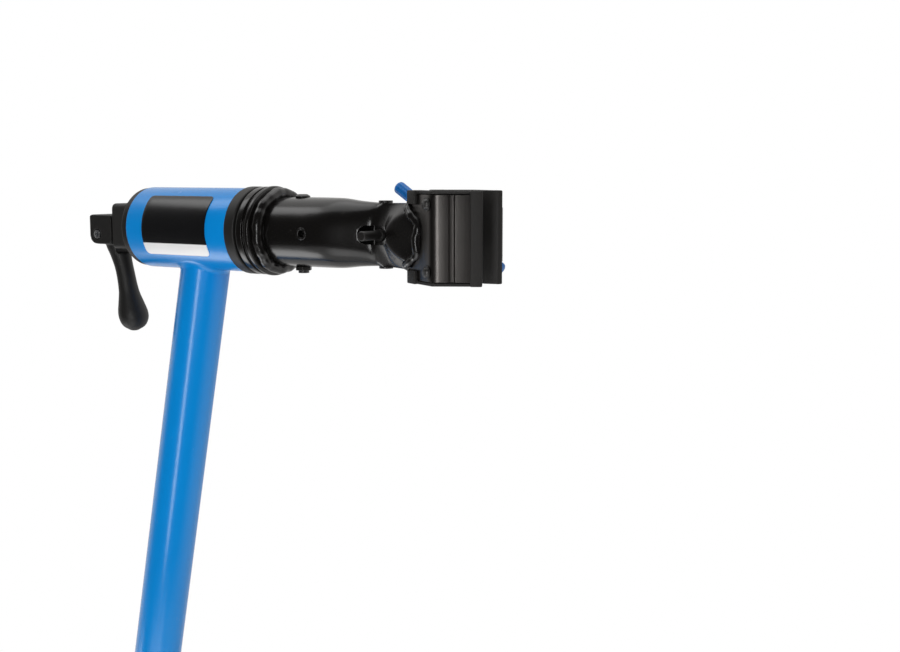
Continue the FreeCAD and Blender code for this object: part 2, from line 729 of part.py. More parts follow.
def make_upper_mast():
    """Sliding upper tube, its end plug and the head tube welded across its top."""
    head_r = "Dim.head_od / 2"
    full = "Dim.head_rear + Dim.head_front"
    tube = body("UpperTube_Form")
    ring = [("0", "0", "Dim.upper_od / 2"), ("0", "0", "Dim.upper_od / 2 - Dim.upper_wall")]
    pad(tube, circles(tube, "XY_Plane", ring, "Dim.upper_start"), "Dim.mast_reach - Dim.upper_start")
    put(tube, MAST)
    cope = rod("UpperTube_Cope", head_r, full, HEAD + " * " + along_x("-Dim.head_rear"))
    node(cut("UpperTube", tube, [cope]), "upper_mast_tube")
    node(turned("MastPlug", [
        ("0", "Dim.upper_start - Dim.plug_drop"),
        ("Dim.lower_od / 2 - Dim.lower_wall - Dim.slide_gap - 1", "Dim.upper_start - Dim.plug_drop"),
        ("Dim.lower_od / 2 - Dim.lower_wall - Dim.slide_gap", "Dim.upper_start - Dim.plug_drop + 1"),
        ("Dim.lower_od / 2 - Dim.lower_wall - Dim.slide_gap", "Dim.upper_start"),
        ("Dim.upper_od / 2 - Dim.upper_wall", "Dim.upper_start"),
        ("Dim.upper_od / 2 - Dim.upper_wall", "Dim.upper_start + Dim.plug_spigot"),
        ("0", "Dim.upper_start + Dim.plug_spigot"),
    ]), "mast_plug", MAST)
    shell = body("HeadShell")
    ring = [("0", "0", head_r), ("0", "0", head_r + " - Dim.head_wall")]
    pad(shell, circles(shell, "YZ_Plane", ring, "-Dim.head_rear"), full)
    put(shell, HEAD)
    weld = doc.addObject("Part::Cone", "HeadWeld_Form")
    weld.setExpression("Radius1", "Dim.upper_od / 2")
    weld.setExpression("Radius2", "Dim.upper_od / 2 + Dim.weld_flare")
    weld.setExpression("Height", "Dim.weld_rise")
    put(weld, MAST + " * " + at("0", "0", "Dim.mast_reach - " + head_r + " - Dim.weld_rise + Dim.weld_sink"))
    core = rod("HeadWeld_Core", "Dim.upper_od / 2", "Dim.mast_reach", MAST)
    inside = rod("HeadWeld_Inside", head_r, full, HEAD + " * " + along_x("-Dim.head_rear"))
    bead = cut("HeadWeld", weld, [core, inside])
    node(fuse("HeadTube", [shell, bead]), "head_tube")


def make_head_bearings():
    """Flanged bushings, cam saddle, eye of the draw rod, lever pin and plain badge plate."""
    bore = "Dim.spindle_r + Dim.slide_gap"
    inner = "Dim.head_od / 2 - Dim.head_wall"
    node(turned("FrontBushing", [
        ("Dim.head_front - Dim.front_sleeve", bore),
        ("Dim.head_front - Dim.front_sleeve", inner),
        ("Dim.head_front", inner),
        ("Dim.head_front", "Dim.ring_r - 1.2"),
        ("Dim.head_front + 1.2", "Dim.ring_r"),
        ("Dim.front_ring_x - 1.2", "Dim.ring_r"),
        ("Dim.front_ring_x", "Dim.ring_r - 1.2"),
        ("Dim.front_ring_x", bore),
    ], "H_Axis"), "head_bushing_front", HEAD)
    wall = "-Dim.head_rear"
    node(turned("RearBushing", [
        ("-Dim.head_rear + Dim.rear_sleeve", bore),
        ("-Dim.head_rear + Dim.rear_sleeve", inner),
        (wall, inner),
        (wall, "Dim.rear_ring_r"),
        ("-Dim.rear_ring_x + 2", "Dim.rear_ring_r"),
        ("-Dim.rear_ring_x", "Dim.rear_ring_r - 2"),
        ("-Dim.rear_ring_x", "Dim.rod_hole_r"),
        (wall + " - 0.5", "Dim.rod_hole_r"),
        (wall + " - 0.5", bore),
    ], "H_Axis"), "head_bushing_rear", HEAD)
    saddle = body("Saddle")
    y = "Dim.saddle_half_y"
    z = "Dim.saddle_half_z"
    turn = "Dim.saddle_round"
    outline = [(y, "-" + z + " + " + turn), (y, z + " - " + turn), (y + " - " + turn, z),
               ("-" + y + " + " + turn, z), ("-" + y, z + " - " + turn),
               ("-" + y, "-" + z + " + " + turn), ("-" + y + " + " + turn, "-" + z),
               (y + " - " + turn, "-" + z)]
    pad(saddle, polygon(saddle, "YZ_Plane", outline, "-Dim.saddle_end"), "Dim.saddle_end - Dim.rear_ring_x")
    hole = circles(saddle, "YZ_Plane", [("0", "0", "Dim.rod_hole_r")], "-Dim.saddle_end")
    pocket(saddle, hole, "4 * Dim.saddle_end")
    node(saddle, "cam_saddle", HEAD)
    eye = slab("RodEye_Form", "XZ_Plane", [
        ("-Dim.eye_end", "-Dim.eye_low"),
        ("-Dim.eye_front", "-Dim.eye_low"),
        ("-Dim.eye_front", "Dim.eye_top"),
        ("-Dim.eye_front - Dim.eye_plate", "Dim.eye_top"),
        ("-Dim.eye_front - Dim.eye_plate", "-Dim.rod_nut_r - 1"),
        ("-Dim.rod_end - 1.6", "-Dim.rod_nut_r - 1"),
        ("-Dim.rod_end - 1.6", "0"),
        ("-Dim.eye_end + 4", "0"),
        ("-Dim.eye_end", "-4"),
    ], "2 * Dim.eye_half")
    tools = [rod("RodEye_Bore", "Dim.rod_hole_r", "20", along_x("-Dim.eye_front - 10")),
             rod("RodEye_Cross", "Dim.pin_r", "40", along_y("-Dim.pin_x", "-20", "-Dim.pin_z"))]
    node(cut("RodEye", eye, tools), "rod_eye", HEAD)
    reach = "(Dim.lever_half + Dim.lever_cheek)"
    pin = rod("LeverPin_Shank", "Dim.pin_r", "2 * " + reach, along_y("-Dim.pin_x", "-" + reach, "-Dim.pin_z"))
    socket = hexagon("LeverPin_Socket", "Dim.pin_r * 0.6", "5",
                     along_y("-Dim.pin_x", "-" + reach + " - 1", "-Dim.pin_z"))
    node(cut("LeverPin", pin, [socket]), "lever_pin", HEAD)
    length = "Dim.badge_rear + Dim.badge_front"
    plate = rod("Badge_Outer", "Dim.head_od / 2 + Dim.badge_gap + Dim.badge_t", length)
    plate.setExpression("Angle", "Dim.badge_top + Dim.badge_low")
    core = rod("Badge_Inner", "Dim.head_od / 2 + Dim.badge_gap", length)
    start = HEAD + " * " + along_x("-Dim.badge_rear") + " * " + at(axis=Z_AXIS, angle="-90 - Dim.badge_top")
    put(plate, start)
    put(core, start)
    relief = rod("Badge_Relief", "Dim.upper_od / 2 + Dim.weld_flare + Dim.lip_gap", "Dim.mast_reach", MAST)
    node(cut("Badge", plate, [core, relief]), "badge_plate")


def make_cam_lever():
    """Lock lever behind the head: eccentric cheeks and a long grip that ends in a bulb."""
    reach = "(Dim.lever_half + Dim.lever_cheek)"
    back = "-Dim.lever_back"
    block_form = slab("CamLever_Block", "XZ_Plane", [
        (back, "-Dim.lever_low + Dim.lever_chin"),
        (back, "Dim.lever_top - Dim.lever_corner"),
        (back + " + Dim.lever_corner", "Dim.lever_top"),
        ("-Dim.pin_x + Dim.lever_sweep", "Dim.lever_top"),
        ("-Dim.pin_x + Dim.lever_sweep", "-Dim.lever_low"),
        (back + " + Dim.lever_chin_run", "-Dim.lever_low"),
    ], "2 * " + reach)
    sweep = rod("CamLever_Sweep", "Dim.lever_sweep", "2 * " + reach,
                along_y("-Dim.pin_x", "-" + reach, "-Dim.pin_z"))
    head = common("CamLever_Head", block_form, sweep)
    gap = block("CamLever_Gap", "80", "2 * Dim.lever_half", "80",
                at("-Dim.pin_x - 40", "-Dim.lever_half", "-Dim.pin_z - 40"))
    cheeks = cut("CamLever_Cheeks", head, [gap])
    shape = [(-0.02, 0.09), (0.01, 0.19), (0.08, 0.31), (0.13, 0.43), (0.165, 0.56),
             (0.18, 0.67), (0.17, 0.80), (0.17, 0.87), (0.20, 0.94), (0.27, 1.0),
             (0.33, 0.97), (0.372, 0.89), (0.376, 0.80), (0.34, 0.72), (0.285, 0.655),
             (0.237, 0.55), (0.204, 0.43), (0.187, 0.31), (0.173, 0.17), (0.16, 0.09)]
    points = []
    for right, down in shape:
        points.append(("-Dim.pin_x + Dim.lever_reach * %s" % right,
                       "-Dim.pin_z - Dim.lever_reach * %s" % down))
    grip = slab("CamLever_Grip", "XZ_Plane", points, "2 * Dim.lever_half")
    rest = block("CamLever_Root", "Dim.lever_root_len", "2 * " + reach, "Dim.lever_root_t",
                 at("-Dim.pin_x - Dim.lever_root_back", "-" + reach, "-Dim.pin_z - Dim.lever_root_drop"))
    room = rod("CamLever_Room", "Dim.lever_root_r", "2 * Dim.lever_half",
               along_y("-Dim.pin_x", "-Dim.lever_half", "-Dim.pin_z"))
    bore = rod("CamLever_Bore", "Dim.pin_r + Dim.pin_fit", "60", along_y("-Dim.pin_x", "-30", "-Dim.pin_z"))
    whole = fuse("CamLever_Whole", [cheeks, grip, rest])
    node(cut("CamLever", whole, [room, bore]), "cam_lever", HEAD)


def make_spindle():
    """Spindle in the head, draw rod with its nut, thrust washer and arm flange with its weld ring."""
    node(turned("Spindle", [
        ("-Dim.spindle_rear", "Dim.rod_r"),
        ("-Dim.spindle_rear", "Dim.spindle_r - 1"),
        ("-Dim.spindle_rear + 1", "Dim.spindle_r"),
        ("Dim.washer_end", "Dim.spindle_r"),
        ("Dim.washer_end", "0"),
        ("-Dim.spindle_rear + Dim.rod_depth", "0"),
        ("-Dim.spindle_rear + Dim.rod_depth", "Dim.rod_r"),
    ], "H_Axis"), "spindle", HEAD)
    length = "Dim.rod_end - Dim.spindle_rear + Dim.rod_depth"
    shank = rod("DrawRod_Shank", "Dim.rod_r", length, along_x("-Dim.rod_end"))
    nut = hexagon("DrawRod_Nut", "Dim.rod_nut_r", "Dim.rod_nut_t", along_x("-Dim.rod_end + 1.1"))
    node(fuse("DrawRod", [shank, nut]), "draw_rod", HEAD)
    node(turned("ThrustWasher", [
        ("Dim.front_ring_x + Dim.slide_gap", "Dim.spindle_r"),
        ("Dim.front_ring_x + Dim.slide_gap", "Dim.washer_r"),
        ("Dim.washer_end", "Dim.washer_r"),
        ("Dim.washer_end", "Dim.spindle_r"),
    ], "H_Axis"), "thrust_washer", HEAD)
    node(turned("ArmFlange", [
        ("Dim.washer_end", "0"),
        ("Dim.washer_end", "Dim.ring_r - 1"),
        ("Dim.washer_end + 1", "Dim.ring_r"),
        ("Dim.flange_ring", "Dim.ring_r"),
        ("Dim.flange_ring", "Dim.flange_groove_r"),
        ("Dim.flange_groove", "Dim.flange_groove_r"),
        ("Dim.flange_groove", "Dim.flange_r"),
        ("Dim.flange_rim - Dim.flange_round", "Dim.flange_r"),
        ("Dim.flange_rim - Dim.flange_round * 0.3", "Dim.flange_r - Dim.flange_round * 0.3"),
        ("Dim.flange_rim", "Dim.flange_r - Dim.flange_round"),
        ("Dim.flange_rim", "Dim.ring_weld_r"),
        ("Dim.ring_weld_x - Dim.ring_weld * 0.87", "Dim.ring_weld_r + Dim.ring_weld * 0.5"),
        ("Dim.ring_weld_x - Dim.ring_weld * 0.5", "Dim.ring_weld_r + Dim.ring_weld * 0.87"),
        ("Dim.ring_weld_x", "Dim.ring_weld_r + Dim.ring_weld"),
        ("Dim.ring_weld_x + Dim.ring_weld * 0.5", "Dim.ring_weld_r + Dim.ring_weld * 0.87"),
        ("Dim.ring_weld_x + Dim.ring_weld * 0.87", "Dim.ring_weld_r + Dim.ring_weld * 0.5"),
        ("Dim.flange_end", "Dim.ring_weld_r"),
        ("Dim.flange_end", "0"),
    ], "H_Axis"), "arm_flange", HEAD)


def oval(owner, x, y, z, small, large):
    """A four-arc oval across the arm: y and z are where the arcs meet, with both radii."""
    made = sketch(owner, "YZ_Plane", x)
    py, pz, near, far = [float(made.evalExpression(text)) for text in (y, z, small, large)]
    signs = ((1, 1), (-1, 1), (-1, -1), (1, -1))
    mids = ((0, 1, near), (-1, 0, far), (0, -1, near), (1, 0, far))
    for i in range(4):
        here = FreeCAD.Vector(signs[i][0] * py, signs[i][1] * pz, 0)
        after = signs[(i + 1) % 4]
        there = FreeCAD.Vector(after[0] * py, after[1] * pz, 0)
        across, up, radius = mids[i]
        half = (py if across == 0 else pz)
        rise = (radius * radius - half * half) ** 0.5
        base = (pz if across == 0 else py) - rise
        top = FreeCAD.Vector(across * (base + radius), up * (base + radius), 0)
        made.addGeometry(Part.Arc(here, top, there), False)
    for i in range(4):
        made.addConstraint(Sketcher.Constraint("Coincident", i, 2, (i + 1) % 4, 1))
    for i in range(4):
        for kind, sign, text, value in (("DistanceX", signs[i][0], y, py), ("DistanceY", signs[i][1], z, pz)):
            index = made.addConstraint(Sketcher.Constraint(kind, -1, 1, i, 1, sign * value))
            made.setExpression("Constraints[%d]" % index, "%d * (%s)" % (sign, text))
        radius, text = ((near, small), (far, large))[i % 2]
        index = made.addConstraint(Sketcher.Constraint("Radius", i, radius))
        made.setExpression("Constraints[%d]" % index, text)
    return made


def pinched(owner, kind, name, shrink):
    """The arm from its round part through the pinch to the end plate."""
    full = "(Dim.arm_od / 2%s)" % shrink
    rings = [oval(owner, "Dim.arm_round_end", full + " * cos(45)", full + " * sin(45)", full, full)]
    high = "Dim.pinch_z"
    small = "Dim.pinch_round"
    for x, wide in (("Dim.pinch_start", "Dim.pinch_y"), ("Dim.pinch_end", "Dim.pinch_y"),
                    ("Dim.arm_end", "Dim.arm_end_y")):
        rise = "(%s - %s)" % (high, small)
        large = "((%s * %s + %s * %s - %s * %s) / (2 * (%s - %s)))" % (
            wide, wide, rise, rise, small, small, wide, small)
        span = "(%s - %s)" % (large, small)
        y = "(%s%s) * (%s - %s) / %s" % (small, shrink, large, wide, span)
        z = "%s * (1 + (%s%s) / %s)" % (rise, small, shrink, span)
        rings.append(oval(owner, x, y, z, "(%s%s)" % (small, shrink), "(%s%s)" % (large, shrink)))
    made = owner.newObject("PartDesign::" + kind, name)
    made.Profile = rings[0]
    made.Sections = rings[1:]
    made.Ruled = True
    return made


def make_arm():
    """Arm tube with its openings, hollow stop pin, end plate and lever pivot bolt."""
    shell = body("ArmShell")
    ring = [("0", "0", "Dim.arm_od / 2")]
    pad(shell, circles(shell, "YZ_Plane", ring, "Dim.flange_end"), "Dim.arm_round_end - Dim.flange_end")
    pinched(shell, "AdditiveLoft", "Arm_Outside", "")
    pinched(shell, "SubtractiveLoft", "Arm_Inside", " - Dim.arm_wall")
    hole = [("0", "0", "Dim.arm_od / 2 - Dim.arm_wall")]
    start = circles(shell, "YZ_Plane", hole, "Dim.arm_round_end")
    pocket(shell, start, "Dim.arm_round_end - Dim.flange_end", False)
    tools = []
    tools.append(block("Arm_Slot", "2 * Dim.slot_half - 2 * Dim.slot_r", "80", "2 * Dim.slot_r",
                       at("Dim.slot_x - Dim.slot_half + Dim.slot_r", "-40", "-Dim.slot_r")))
    for k, sign in ((0, "-"), (1, "+")):
        spot = "Dim.slot_x %s (Dim.slot_half - Dim.slot_r)" % sign
        tools.append(rod("Arm_SlotEnd%d" % k, "Dim.slot_r", "80", along_y(spot, "-40", "0")))
    tools.append(block("Arm_Rear", "Dim.rear_slot_high - Dim.rear_slot_low", "40", "2 * Dim.rear_slot_half",
                       at("Dim.rear_slot_low", "0", "-Dim.rear_slot_half")))
    tools.append(rod("Arm_Pivot", "Dim.pivot_r", "80", at("Dim.pivot_x", "0", "-40")))
    tools.append(rod("Arm_Nut", "Dim.nut_pin_r + Dim.bore_gap", "80", at("Dim.screw_x", "0", "-40")))
    tools.append(rod("Arm_Stop", "Dim.stop_pin_r", "40", along_y("Dim.stop_pin_x", "-40", "0")))
    node(cut("ArmTube", shell, tools), "arm_tube", HEAD)
    front = "-Dim.arm_od / 2 - 0.5"
    pin = rod("StopPin_Outer", "Dim.stop_pin_r", "Dim.stop_pin_len", along_y("Dim.stop_pin_x", front, "0"))
    bore = rod("StopPin_Bore", "Dim.stop_pin_bore", "40", along_y("Dim.stop_pin_x", "-40", "0"))
    node(cut("StopPin", pin, [bore]), "stop_pin", HEAD)
    z = "Dim.pinch_z"
    node(slab("EndPlate", "YZ_Plane", [
        ("-Dim.end_plate_front", "-" + z + " + 3"),
        ("-Dim.end_plate_front + 3", "-" + z),
        ("Dim.end_plate_back - 8", "-" + z),
        ("Dim.end_plate_back", "-" + z + " + 12"),
        ("Dim.end_plate_back", z + " - 12"),
        ("Dim.end_plate_back - 8", z),
        ("-Dim.end_plate_front + 3", z),
        ("-Dim.end_plate_front", z + " - 3"),
    ], "Dim.end_plate_t", "Dim.arm_end", False), "arm_end_plate", HEAD)
    shank = rod("PivotBolt_Shank", "Dim.pivot_r", "Dim.arm_od + Dim.pivot_nut_t + 2",
                at("Dim.pivot_x", "0", "-Dim.arm_od / 2 - Dim.pivot_nut_t - 2"))
    head = turned("PivotBolt_Head", [
        ("0", "0"),
        ("Dim.pivot_head_r", "0"),
        ("Dim.pivot_head_r", "Dim.pivot_head_t * 0.4"),
        ("Dim.pivot_head_r * 0.6", "Dim.pivot_head_t"),
        ("0", "Dim.pivot_head_t"),
    ])
    put(head, at("Dim.pivot_x", "0", "Dim.arm_od / 2"))
    nut = hexagon("PivotBolt_Nut", "Dim.pivot_nut_r", "Dim.pivot_nut_t",
                  at("Dim.pivot_x", "0", "-Dim.arm_od / 2 - Dim.pivot_nut_t"))
    node(fuse("PivotBolt", [shank, head, nut]), "pivot_bolt", HEAD)


# The clamped tube stands jaw_y nearer than the axis of the arm.
APEX = "((Dim.grip_r + Dim.rubber_t + Dim.steel_t) / cos(Dim.jaw_tilt))"


def jaw_depth(side, t, depth):
    """Y of a point on a leg of the V, at t from its middle and a depth from the back of the steel."""
    sign = "-" if side < 0 else ""
    return "%s(%s - (%s) * tan(Dim.jaw_tilt) - (%s) * cos(Dim.jaw_tilt)) - Dim.jaw_y" % (sign, APEX, t, depth)


def leg_point(side, leg, t, depth):
    """Plan of one point on the left (-1) or right (1) leg of the V."""
    x = "Dim.jaw_x + %s * (%s) - %s * (%s) * sin(Dim.jaw_tilt)" % (leg, t, leg, depth)
    return x, jaw_depth(side, t, depth)


def vee(side, left, right, low, high):
    """Plan of a V jaw between two depths from the back of its steel, as bound corners."""
    sign = "-" if side < 0 else ""

    def middle(depth):
        return "Dim.jaw_x", "%s(%s - (%s) / cos(Dim.jaw_tilt)) - Dim.jaw_y" % (sign, APEX, depth)

    return [leg_point(side, "-1", left, low), middle(low), leg_point(side, "1", right, low),
            leg_point(side, "1", right, high), middle(high), leg_point(side, "-1", left, high)]


def leg_outline(side, leg, places):
    """Plan of an outline on one leg of the V, from places along it and depths."""
    return [leg_point(side, leg, t, depth) for t, depth in places]


def leg_strip(side, leg, start, end, low, high):
    """Plan of a strip along one leg of the V, between two depths."""
    return leg_outline(side, leg, ((start, low), (end, low), (end, high), (start, high)))


def rivet_place(side, z):
    """On the back of the left leg, with Z pointing out of the steel."""
    x = "Dim.jaw_x - Dim.rivet_t"
    y = jaw_depth(side, "Dim.rivet_t", "0")
    if side < 0:
        turn = " * " + at(axis=Z_AXIS, angle="-Dim.jaw_tilt") + " * " + at(axis=X_AXIS, angle="90")
    else:
        turn = " * " + at(axis=Z_AXIS, angle="Dim.jaw_tilt") + " * " + at(axis=X_AXIS, angle="-90")
    return at(x, y, z) + turn


def steel_form(tag, side, left):
    """The bent steel of a jaw, and the corner notches that the fixed one has for its cover's hooks."""
    plan = vee(side, left, "Dim.steel_right", "0", "Dim.steel_t")
    plate = slab(tag + "_Form", "XY_Plane", plan, "2 * Dim.steel_half")
    notches = []
    if side < 0:
        for k, low in ((0, "Dim.notch_z"), (1, "-Dim.steel_half - 10")):
            notches.append(block("%s_Notch%d" % (tag, k), "60", "60", "Dim.steel_half - Dim.notch_z + 10",
                                 at("Dim.jaw_x - Dim.hook_left - 60", "-60", low)))
    return plate, notches


def make_jaw(side, label, left):
    """One V jaw: pressed steel plate, rubber cover hooked over it, and two dome rivets."""
    tag = label.capitalize().replace("_", "")
    plate, tools = steel_form(tag + "Plate", side, left)
    if side < 0:
        tools.append(block(tag + "Face", "60", "60", "100",
                           at("Dim.arm_end + Dim.end_plate_t - 60", "-60", "-50")))
    for k, z in ((0, "Dim.rivet_z"), (1, "-Dim.rivet_z")):
        tools.append(rod("%sRivetHole%d" % (tag, k), "Dim.rivet_shank", "2 * Dim.steel_t",
                         rivet_place(side, z) + " * " + at("0", "0", "-1.5 * Dim.steel_t")))
    node(cut(tag + "Plate", plate, tools), label + "_plate", HEAD)
    deep = "Dim.steel_t + Dim.rubber_t"
    full = "2 * Dim.rubber_half"
    plan = vee(side, "Dim.rubber_left", "Dim.rubber_right", "0", deep)
    main = slab(tag + "Cover_Main", "XY_Plane", plan, full)
    wrap = slab(tag + "Cover_Wrap", "XY_Plane",
                leg_strip(side, "1", "Dim.steel_right - 1.5", "Dim.rubber_right", "-Dim.wrap_t", deep), full)
    parts = [main, wrap]
    hook = slab(tag + "Cover_Hook", "XY_Plane",
                leg_strip(side, "-1", "Dim.hook_left", "Dim.rubber_left", "-Dim.wrap_t", deep), full)
    if side < 0:
        room, front = "Dim.notch_z", "-80 - Dim.rubber_t"
    else:
        room, front = "(Dim.bar_half + Dim.lip_gap)", "Dim.rubber_t"
    gap = block(tag + "Cover_Gap", "60", "80", "2 * " + room,
                at("Dim.jaw_x - Dim.hook_left - 60", front, "-" + room))
    parts.append(cut(tag + "Cover_Hooks", hook, [gap]))
    steel, notches = steel_form(tag + "Cover", side, left)
    if notches:
        steel = cut(tag + "Cover_Core", steel, notches)
    over = deep + " + 2"
    lip = [("Dim.rubber_right - Dim.lip_run", deep), ("Dim.rubber_right", "Dim.lip_t - Dim.wrap_t"),
           ("Dim.rubber_right + 2", "Dim.lip_t - Dim.wrap_t"), ("Dim.rubber_right + 2", over),
           ("Dim.rubber_right - Dim.lip_run", over)]
    tools = [steel, slab(tag + "Cover_Lip", "XY_Plane", leg_outline(side, "1", lip), full)]
    if side < 0:
        middle_band = leg_strip(side, "-1", "Dim.hook_left", "Dim.rubber_left + 12", "-6", "Dim.steel_t")
        tools.append(slab(tag + "Cover_Band", "XY_Plane", middle_band, "2 * Dim.notch_z"))
    node(cut(tag + "Cover", fuse(tag + "Cover_Whole", parts), tools), label + "_cover", HEAD)
    for k, (z, word) in enumerate((("Dim.rivet_z", "top"), ("-Dim.rivet_z", "bottom"))):
        dome = turned("%sRivet%d" % (tag, k), [
            ("0", "-Dim.steel_t"),
            ("Dim.rivet_shank", "-Dim.steel_t"),
            ("Dim.rivet_shank", "0"),
            ("Dim.rivet_r", "0"),
            ("Dim.rivet_r * 0.9", "Dim.rivet_h * 0.45"),
            ("Dim.rivet_r * 0.5", "Dim.rivet_h * 0.9"),
            ("0", "Dim.rivet_h"),
        ])
        node(dome, "%s_rivet_%s" % (label, word), HEAD + " * " + rivet_place(side, z))


def make_jaw_lever():
    """Channel-shaped lever behind the arm that carries the moving jaw, with its sleeve."""
    form = slab("JawLever_Form", "XY_Plane", [
        ("Dim.pivot_x + Dim.eye_dx", "-Dim.eye_dy"),
        ("Dim.bar_in_x", "Dim.bar_in_y"),
        ("Dim.bar_step_x", "Dim.bar_in_y"),
        ("Dim.jaw_x - Dim.bar_cradle", jaw_depth(1, "Dim.bar_cradle", "0")),
        ("Dim.jaw_x", jaw_depth(1, "0", "0")),
        ("Dim.jaw_x + Dim.bar_tip", jaw_depth(1, "Dim.bar_tip", "0")),
        ("Dim.jaw_x + Dim.bar_tip + 2", jaw_depth(1, "Dim.bar_tip", "0") + " + 5"),
        ("Dim.jaw_x + Dim.bar_tip - 7", "Dim.bar_out_y"),
        ("Dim.bar_out_x", "Dim.bar_out_y"),
        ("Dim.pivot_x - Dim.eye_dx", "Dim.eye_dy"),
    ], "2 * Dim.bar_half")
    eye = rod("JawLever_Eye", "Dim.eye_r", "2 * Dim.bar_half", at("Dim.pivot_x", "0", "-Dim.bar_half"))
    inner = "2 * Dim.bar_half - 2 * Dim.bar_t"
    hollow = block("JawLever_Hollow", "240", "60 + Dim.bar_out_y - Dim.bar_t", inner,
                   at("40", "-60", "-Dim.bar_half + Dim.bar_t"))
    window = block("JawLever_Window", "2 * Dim.window_half", "60", inner,
                   at("Dim.screw_x - Dim.window_half", "Dim.bar_in_y", "-Dim.bar_half + Dim.bar_t"))
    bore = rod("JawLever_Bore", "Dim.pivot_r + Dim.bore_gap", "80", at("Dim.pivot_x", "0", "-40"))
    slot = block("JawLever_Slot", "2 * Dim.block_slot", "2 * Dim.block_slot_r", "80",
                 at("Dim.screw_x - Dim.block_slot", "Dim.block_y - Dim.block_slot_r", "-40"))
    left = rod("JawLever_SlotA", "Dim.block_slot_r", "80",
               at("Dim.screw_x - Dim.block_slot", "Dim.block_y", "-40"))
    right = rod("JawLever_SlotB", "Dim.block_slot_r", "80",
                at("Dim.screw_x + Dim.block_slot", "Dim.block_y", "-40"))
    whole = fuse("JawLever_Whole", [form, eye])
    node(cut("JawLever", whole, [hollow, window, bore, slot, left, right]), "jaw_lever", HEAD)
    sleeve = body("PivotSleeve")
    ring = [("Dim.pivot_x", "0", "Dim.sleeve_r"), ("Dim.pivot_x", "0", "Dim.pivot_r + Dim.bore_gap")]
    pad(sleeve, circles(sleeve, "XY_Plane", ring), inner, True)
    node(sleeve, "pivot_sleeve", HEAD)


def barrel(name, radius, half, pin_radius, pin_half, x, y):
    """An upright barrel with a pin at each end and a cross bore for the screw."""
    middle = rod(name + "_Middle", radius, "2 * " + half, at(x, y, "-" + half))
    pins = rod(name + "_Pins", pin_radius, "2 * " + pin_half, at(x, y, "-" + pin_half))
    bore = rod(name + "_Bore", "Dim.screw_r + Dim.bore_gap", "60", along_y(x, y + " - 30", "0"))
    return cut(name, fuse(name + "_Whole", [middle, pins]), [bore])


def make_screw():
    """Barrel nut, swivel block, clamp screw with its hub, and the sliding bar."""
    node(barrel("NutBarrel", "Dim.nut_r", "Dim.nut_half", "Dim.nut_pin_r", "Dim.nut_pin_half",
                "Dim.screw_x", "0"), "nut_barrel", HEAD)
    node(barrel("SwivelBlock", "Dim.block_r", "Dim.block_half", "Dim.block_pin_r", "Dim.block_pin_half",
                "Dim.screw_x", "Dim.block_y"), "swivel_block", HEAD)
    low = "Dim.block_y - Dim.block_r - Dim.thrust_gap"
    high = "Dim.block_y + Dim.block_r + Dim.thrust_gap"
    node(turned("ClampScrew", [
        ("0", "-Dim.screw_tip"),
        ("Dim.screw_r - Dim.tip_edge", "-Dim.screw_tip"),
        ("Dim.screw_r", "-Dim.screw_tip + Dim.tip_edge"),
        ("Dim.screw_r", low + " - Dim.thrust_t"),
        ("Dim.block_r", low + " - Dim.thrust_t"),
        ("Dim.block_r", low),
        ("Dim.screw_r", low),
        ("Dim.screw_r", high),
        ("Dim.neck_r", high),
        ("Dim.neck_r", "Dim.hub_start"),
        ("0", "Dim.hub_start"),
    ]), "clamp_screw", HEAD + " * " + along_y("Dim.screw_x"))
    hub = turned("Hub_Form", [
        ("0", "Dim.hub_start"),
        ("Dim.hub_r - Dim.hub_edge", "Dim.hub_start"),
        ("Dim.hub_r", "Dim.hub_start + Dim.hub_edge"),
        ("Dim.hub_r", "Dim.hub_start + Dim.hub_t - Dim.hub_edge"),
        ("Dim.hub_r - Dim.hub_edge", "Dim.hub_start + Dim.hub_t"),
        ("0", "Dim.hub_start + Dim.hub_t"),
    ])
    bore = rod("Hub_Bore", "Dim.tbar_r + Dim.pin_fit", "60",
               at("0", "0", "Dim.hub_start + Dim.hub_t / 2") + " * "
               + at(axis=Z_AXIS, angle="Dim.tbar_tilt") + " * " + along_x("-30"))
    node(cut("ScrewHub", hub, [bore]), "screw_hub", HEAD + " * " + along_y("Dim.screw_x"))
    frame = (HEAD + " * " + at("Dim.screw_x", "Dim.hub_start + Dim.hub_t / 2", "0") + " * "
             + at(axis=Y_AXIS, angle="Dim.tbar_tilt") + " * " + at("-Dim.tbar_shift"))
    node(rod("TBar", "Dim.tbar_r", "2 * Dim.tbar_half"), "t_bar", frame + " * " + along_x("-Dim.tbar_half"))
    for k, (turn, word) in enumerate((("90", "lower"), ("-90", "upper"))):
        start = "Dim.tbar_half + Dim.tip_over - Dim.tip_len"
        shell = turned("BarTip%d" % k, [
            ("Dim.tbar_r", start),
            ("Dim.tip_r", start),
            ("Dim.tip_r", "Dim.tbar_half + Dim.tip_over - 1.5"),
            ("Dim.tip_r - 1.5", "Dim.tbar_half + Dim.tip_over"),
            ("0", "Dim.tbar_half + Dim.tip_over"),
            ("0", "Dim.tbar_half"),
            ("Dim.tbar_r", "Dim.tbar_half"),
        ])
        node(shell, "t_bar_tip_%s" % word, frame + " * " + at(axis=Y_AXIS, angle=turn))


